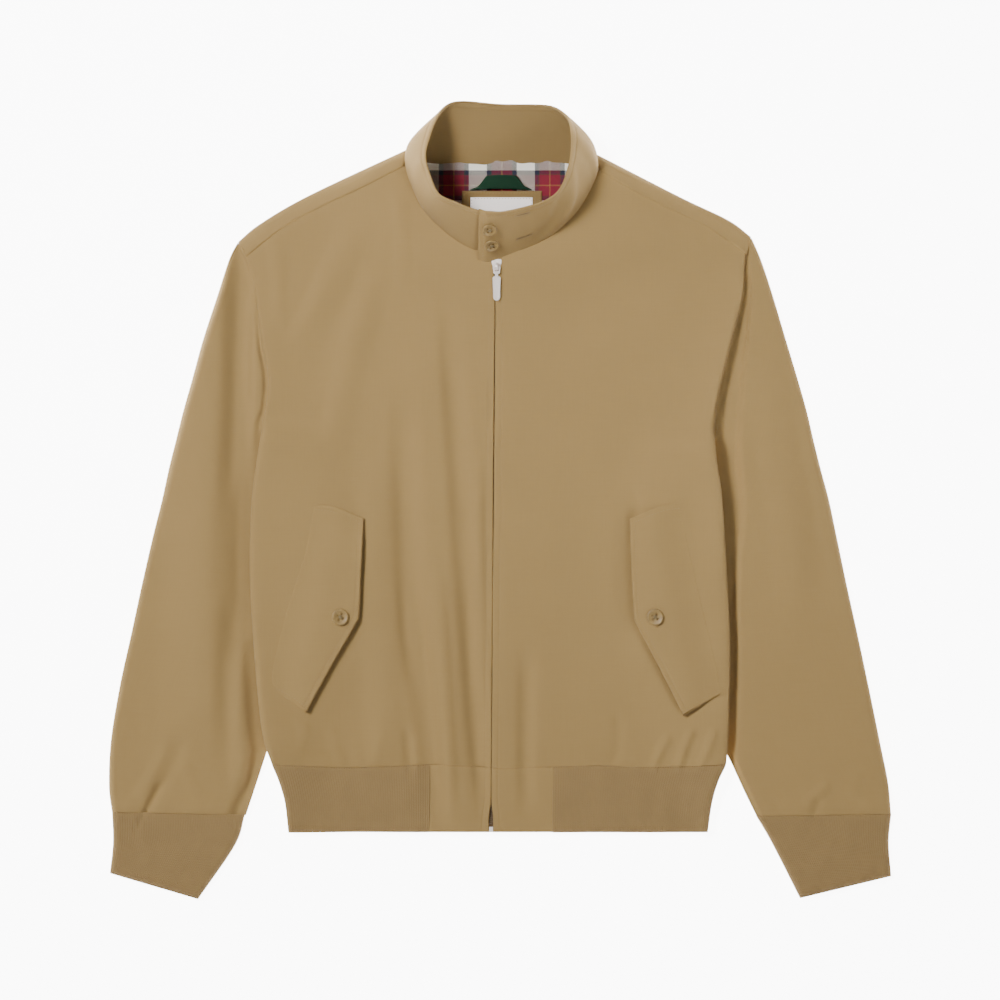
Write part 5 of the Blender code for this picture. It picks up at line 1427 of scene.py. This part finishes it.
def stitch_over(bm, tree, plan):
    """Row of stitches along a plan line, laid on the cloth below it."""
    found = [(px, py, height_on(tree, float(px), float(py))) for px, py in plan]
    found = [(px, py, hit) for px, py, hit in found if hit]
    path = np.array([(px, py, hit[0]) for px, py, hit in found])
    stitch_row(bm, path, np.array([tuple(hit[1]) for _, _, hit in found]))


def add_stitches(name, bm):
    piece = add_piece(name, bm, sewing_thread, sharp=80.0)


def straight(start, end):
    count = max(2, int(math.hypot(end[0] - start[0], end[1] - start[1]) / STITCH_PITCH))
    return np.linspace(start, end, count + 1)


def inset_line(x, y, away, inset, keep):
    """Plan line at an inset from an edge, one point per row of a grid, where keep allows it."""
    line = []
    for k in range(len(away)):
        order = np.argsort(away[k])
        if keep[k]:
            line.append((np.interp(inset, away[k][order], x[k][order]),
                         np.interp(inset, away[k][order], y[k][order])))
    return np.array(line)


for side in WAY:
    for place, tree, ys in (("zip", front_trees[side], np.linspace(-262.0, 214.0, 160)),
                            ("band", band_end_trees[side], np.linspace(-269.0, -329.0, 30))):
        bm = bmesh.new()
        stitch_over(bm, tree, np.c_[zip_x(ys) + WAY[side] * ZIP_STITCHED, ys])
        add_stitches(f"{side}_{place}_stitches", bm)
    bm = bmesh.new()
    x, y = flap_plans[side][..., 0], flap_plans[side][..., 1]
    from_sewn, from_free, from_tip, from_top = distances(flap_plans[side])
    inner_rows = (from_tip[:, -1] > 5.0) & (from_top[:, -1] > 5.0)
    stitch_over(bm, flap_trees[side], inset_line(x, y, from_free, EDGE_STITCHED, inner_rows))
    inner_columns = from_free[len(from_free) // 2] > 5.0
    for away in (from_top, from_tip):
        stitch_over(bm, flap_trees[side], inset_line(x.T, y.T, away.T, EDGE_STITCHED, inner_columns))
    add_stitches(f"{side}_flap_stitches", bm)

bm = bmesh.new()
row = int(np.argmin(np.abs((1.0 - shares) * COLLAR_DEPTH - COLLAR_STITCHED)))
column = int(np.argmin(np.abs(run - (run[-1] - COLLAR_STITCHED))))
along = np.gradient(collar_points, axis=1)
upward = np.gradient(collar_points, axis=0)
facing = np.cross(along, upward)
facing /= np.linalg.norm(facing, axis=-1)[..., None]
facing *= np.sign(facing[len(shares) // 2, -20, 2])
on_collar = collar_points + facing * 0.1
for part in ((row, slice(None, column)), (slice(5, row), column)):
    stitch_row(bm, on_collar[part], facing[part])
add_stitches("collar_stitches", bm)

bm = bmesh.new()
slit_shadow = bmesh.new()
hole_run = np.linspace(20.45, 19.75, 18)
for share in (0.84, 0.30):
    line, above = (collar_face(hole_run, height, 0.05) for height in (share, share + 0.04))
    for low, high in zip(line[:-1], above[:-1]):
        middle = mix(low, high, 0.5)
        face = Vector(high - low).cross(Vector(line[-1] - line[0]))
        face = face if face.z > 0.0 else -face
        lay_stitch(bm, mix(middle, low, 1.5), mix(middle, low, 0.3), face, 0.75)
        lay_stitch(bm, mix(middle, high, 0.3), mix(middle, high, 1.5), face, 0.75)
    lay_stitch(slit_shadow, mix(line[0], above[0], 0.5), mix(line[-1], above[-1], 0.5), face, 0.5)
add_stitches("collar_buttonholes", bm)
# Each buttonhole's slit is a dark stroke of thread, painted shadow in the cut.
slit_shade = thread_material("slit_shade", (0.05, 0.032, 0.012))
piece = add_piece("buttonhole_slit_shadows", slit_shadow, slit_shade, sharp=80.0)

bm = bmesh.new()
for tree, left, right, low, high in ((patch_tree, -35.8, 39.8, 270.2, 306.8),
                                     (label_tree, -28.3, 31.3, 273.2, 301.3)):
    corners = [(left, low), (right, low), (right, high), (left, high), (left, low)]
    for start, end in zip(corners, corners[1:]):
        stitch_over(bm, tree, straight(start, end))
add_stitches("neck_stitches", bm)

# ---------------------------------------------------------------- the stage
# A plain white floor, a large soft key light from the upper left, weaker ones from the right and
# the front, a small one towards the collar, and a camera straight over the jacket.
floor_form = bmesh.new()
bmesh.ops.create_grid(floor_form, x_segments=2, y_segments=2, size=3.0)
floor_paint, _, _ = new_material("floor_paint", 0.9, {
    "Base Color": (0.93, 0.93, 0.93, 1.0), "Emission Color": (1.0, 1.0, 1.0, 1.0),
    "Emission Strength": 9.0})
floor = put_in_scene("floor", mesh_from("floor", floor_form))
floor.data.materials.append(floor_paint)
floor.location = (0.0, 0.0, -0.0003)

world = bpy.data.worlds.new("studio")
world.use_nodes = True
background = world.node_tree.nodes["Background"]
background.inputs["Color"].default_value = (1.0, 1.0, 1.0, 1.0)
background.inputs["Strength"].default_value = 0.115
bpy.context.scene.world = world


def soft_light(name, place, aim, size, power, spread=180.0):
    """Round lamp: places in metres, power in watts, spread in degrees."""
    lamp = bpy.data.lights.new(name, "AREA")
    lamp.shape = "DISK"
    lamp.size = size
    lamp.energy = power
    lamp.spread = math.radians(spread)
    made = put_in_scene(name, lamp)
    made.location = place
    made.rotation_euler = (Vector(aim) - Vector(place)).to_track_quat("-Z", "Y").to_euler()


soft_light("key_light", (-2.78, 1.61, 3.83), (-0.08, 0.08, 0.0), size=1.5, power=34.0, spread=50.0)
soft_light("right_light", (2.05, 2.44, 3.18), (0.0, 0.0, 0.0), size=1.4, power=9.0)
soft_light("front_fill", (1.9, -2.5, 2.44), (0.0, 0.0, 0.0), size=2.0, power=48.0)
soft_light("collar_light", (1.3, -1.0, 1.45), (0.07, 0.28, 0.03), size=0.5, power=0.40, spread=24.0)

lens = bpy.data.cameras.new("camera")
lens.sensor_width = 36.0
lens.lens = 360.0
lens.clip_end = 50.0
camera = put_in_scene("camera", lens)
camera.location = (0.0, 0.0, 10.0)
bpy.context.scene.camera = camera
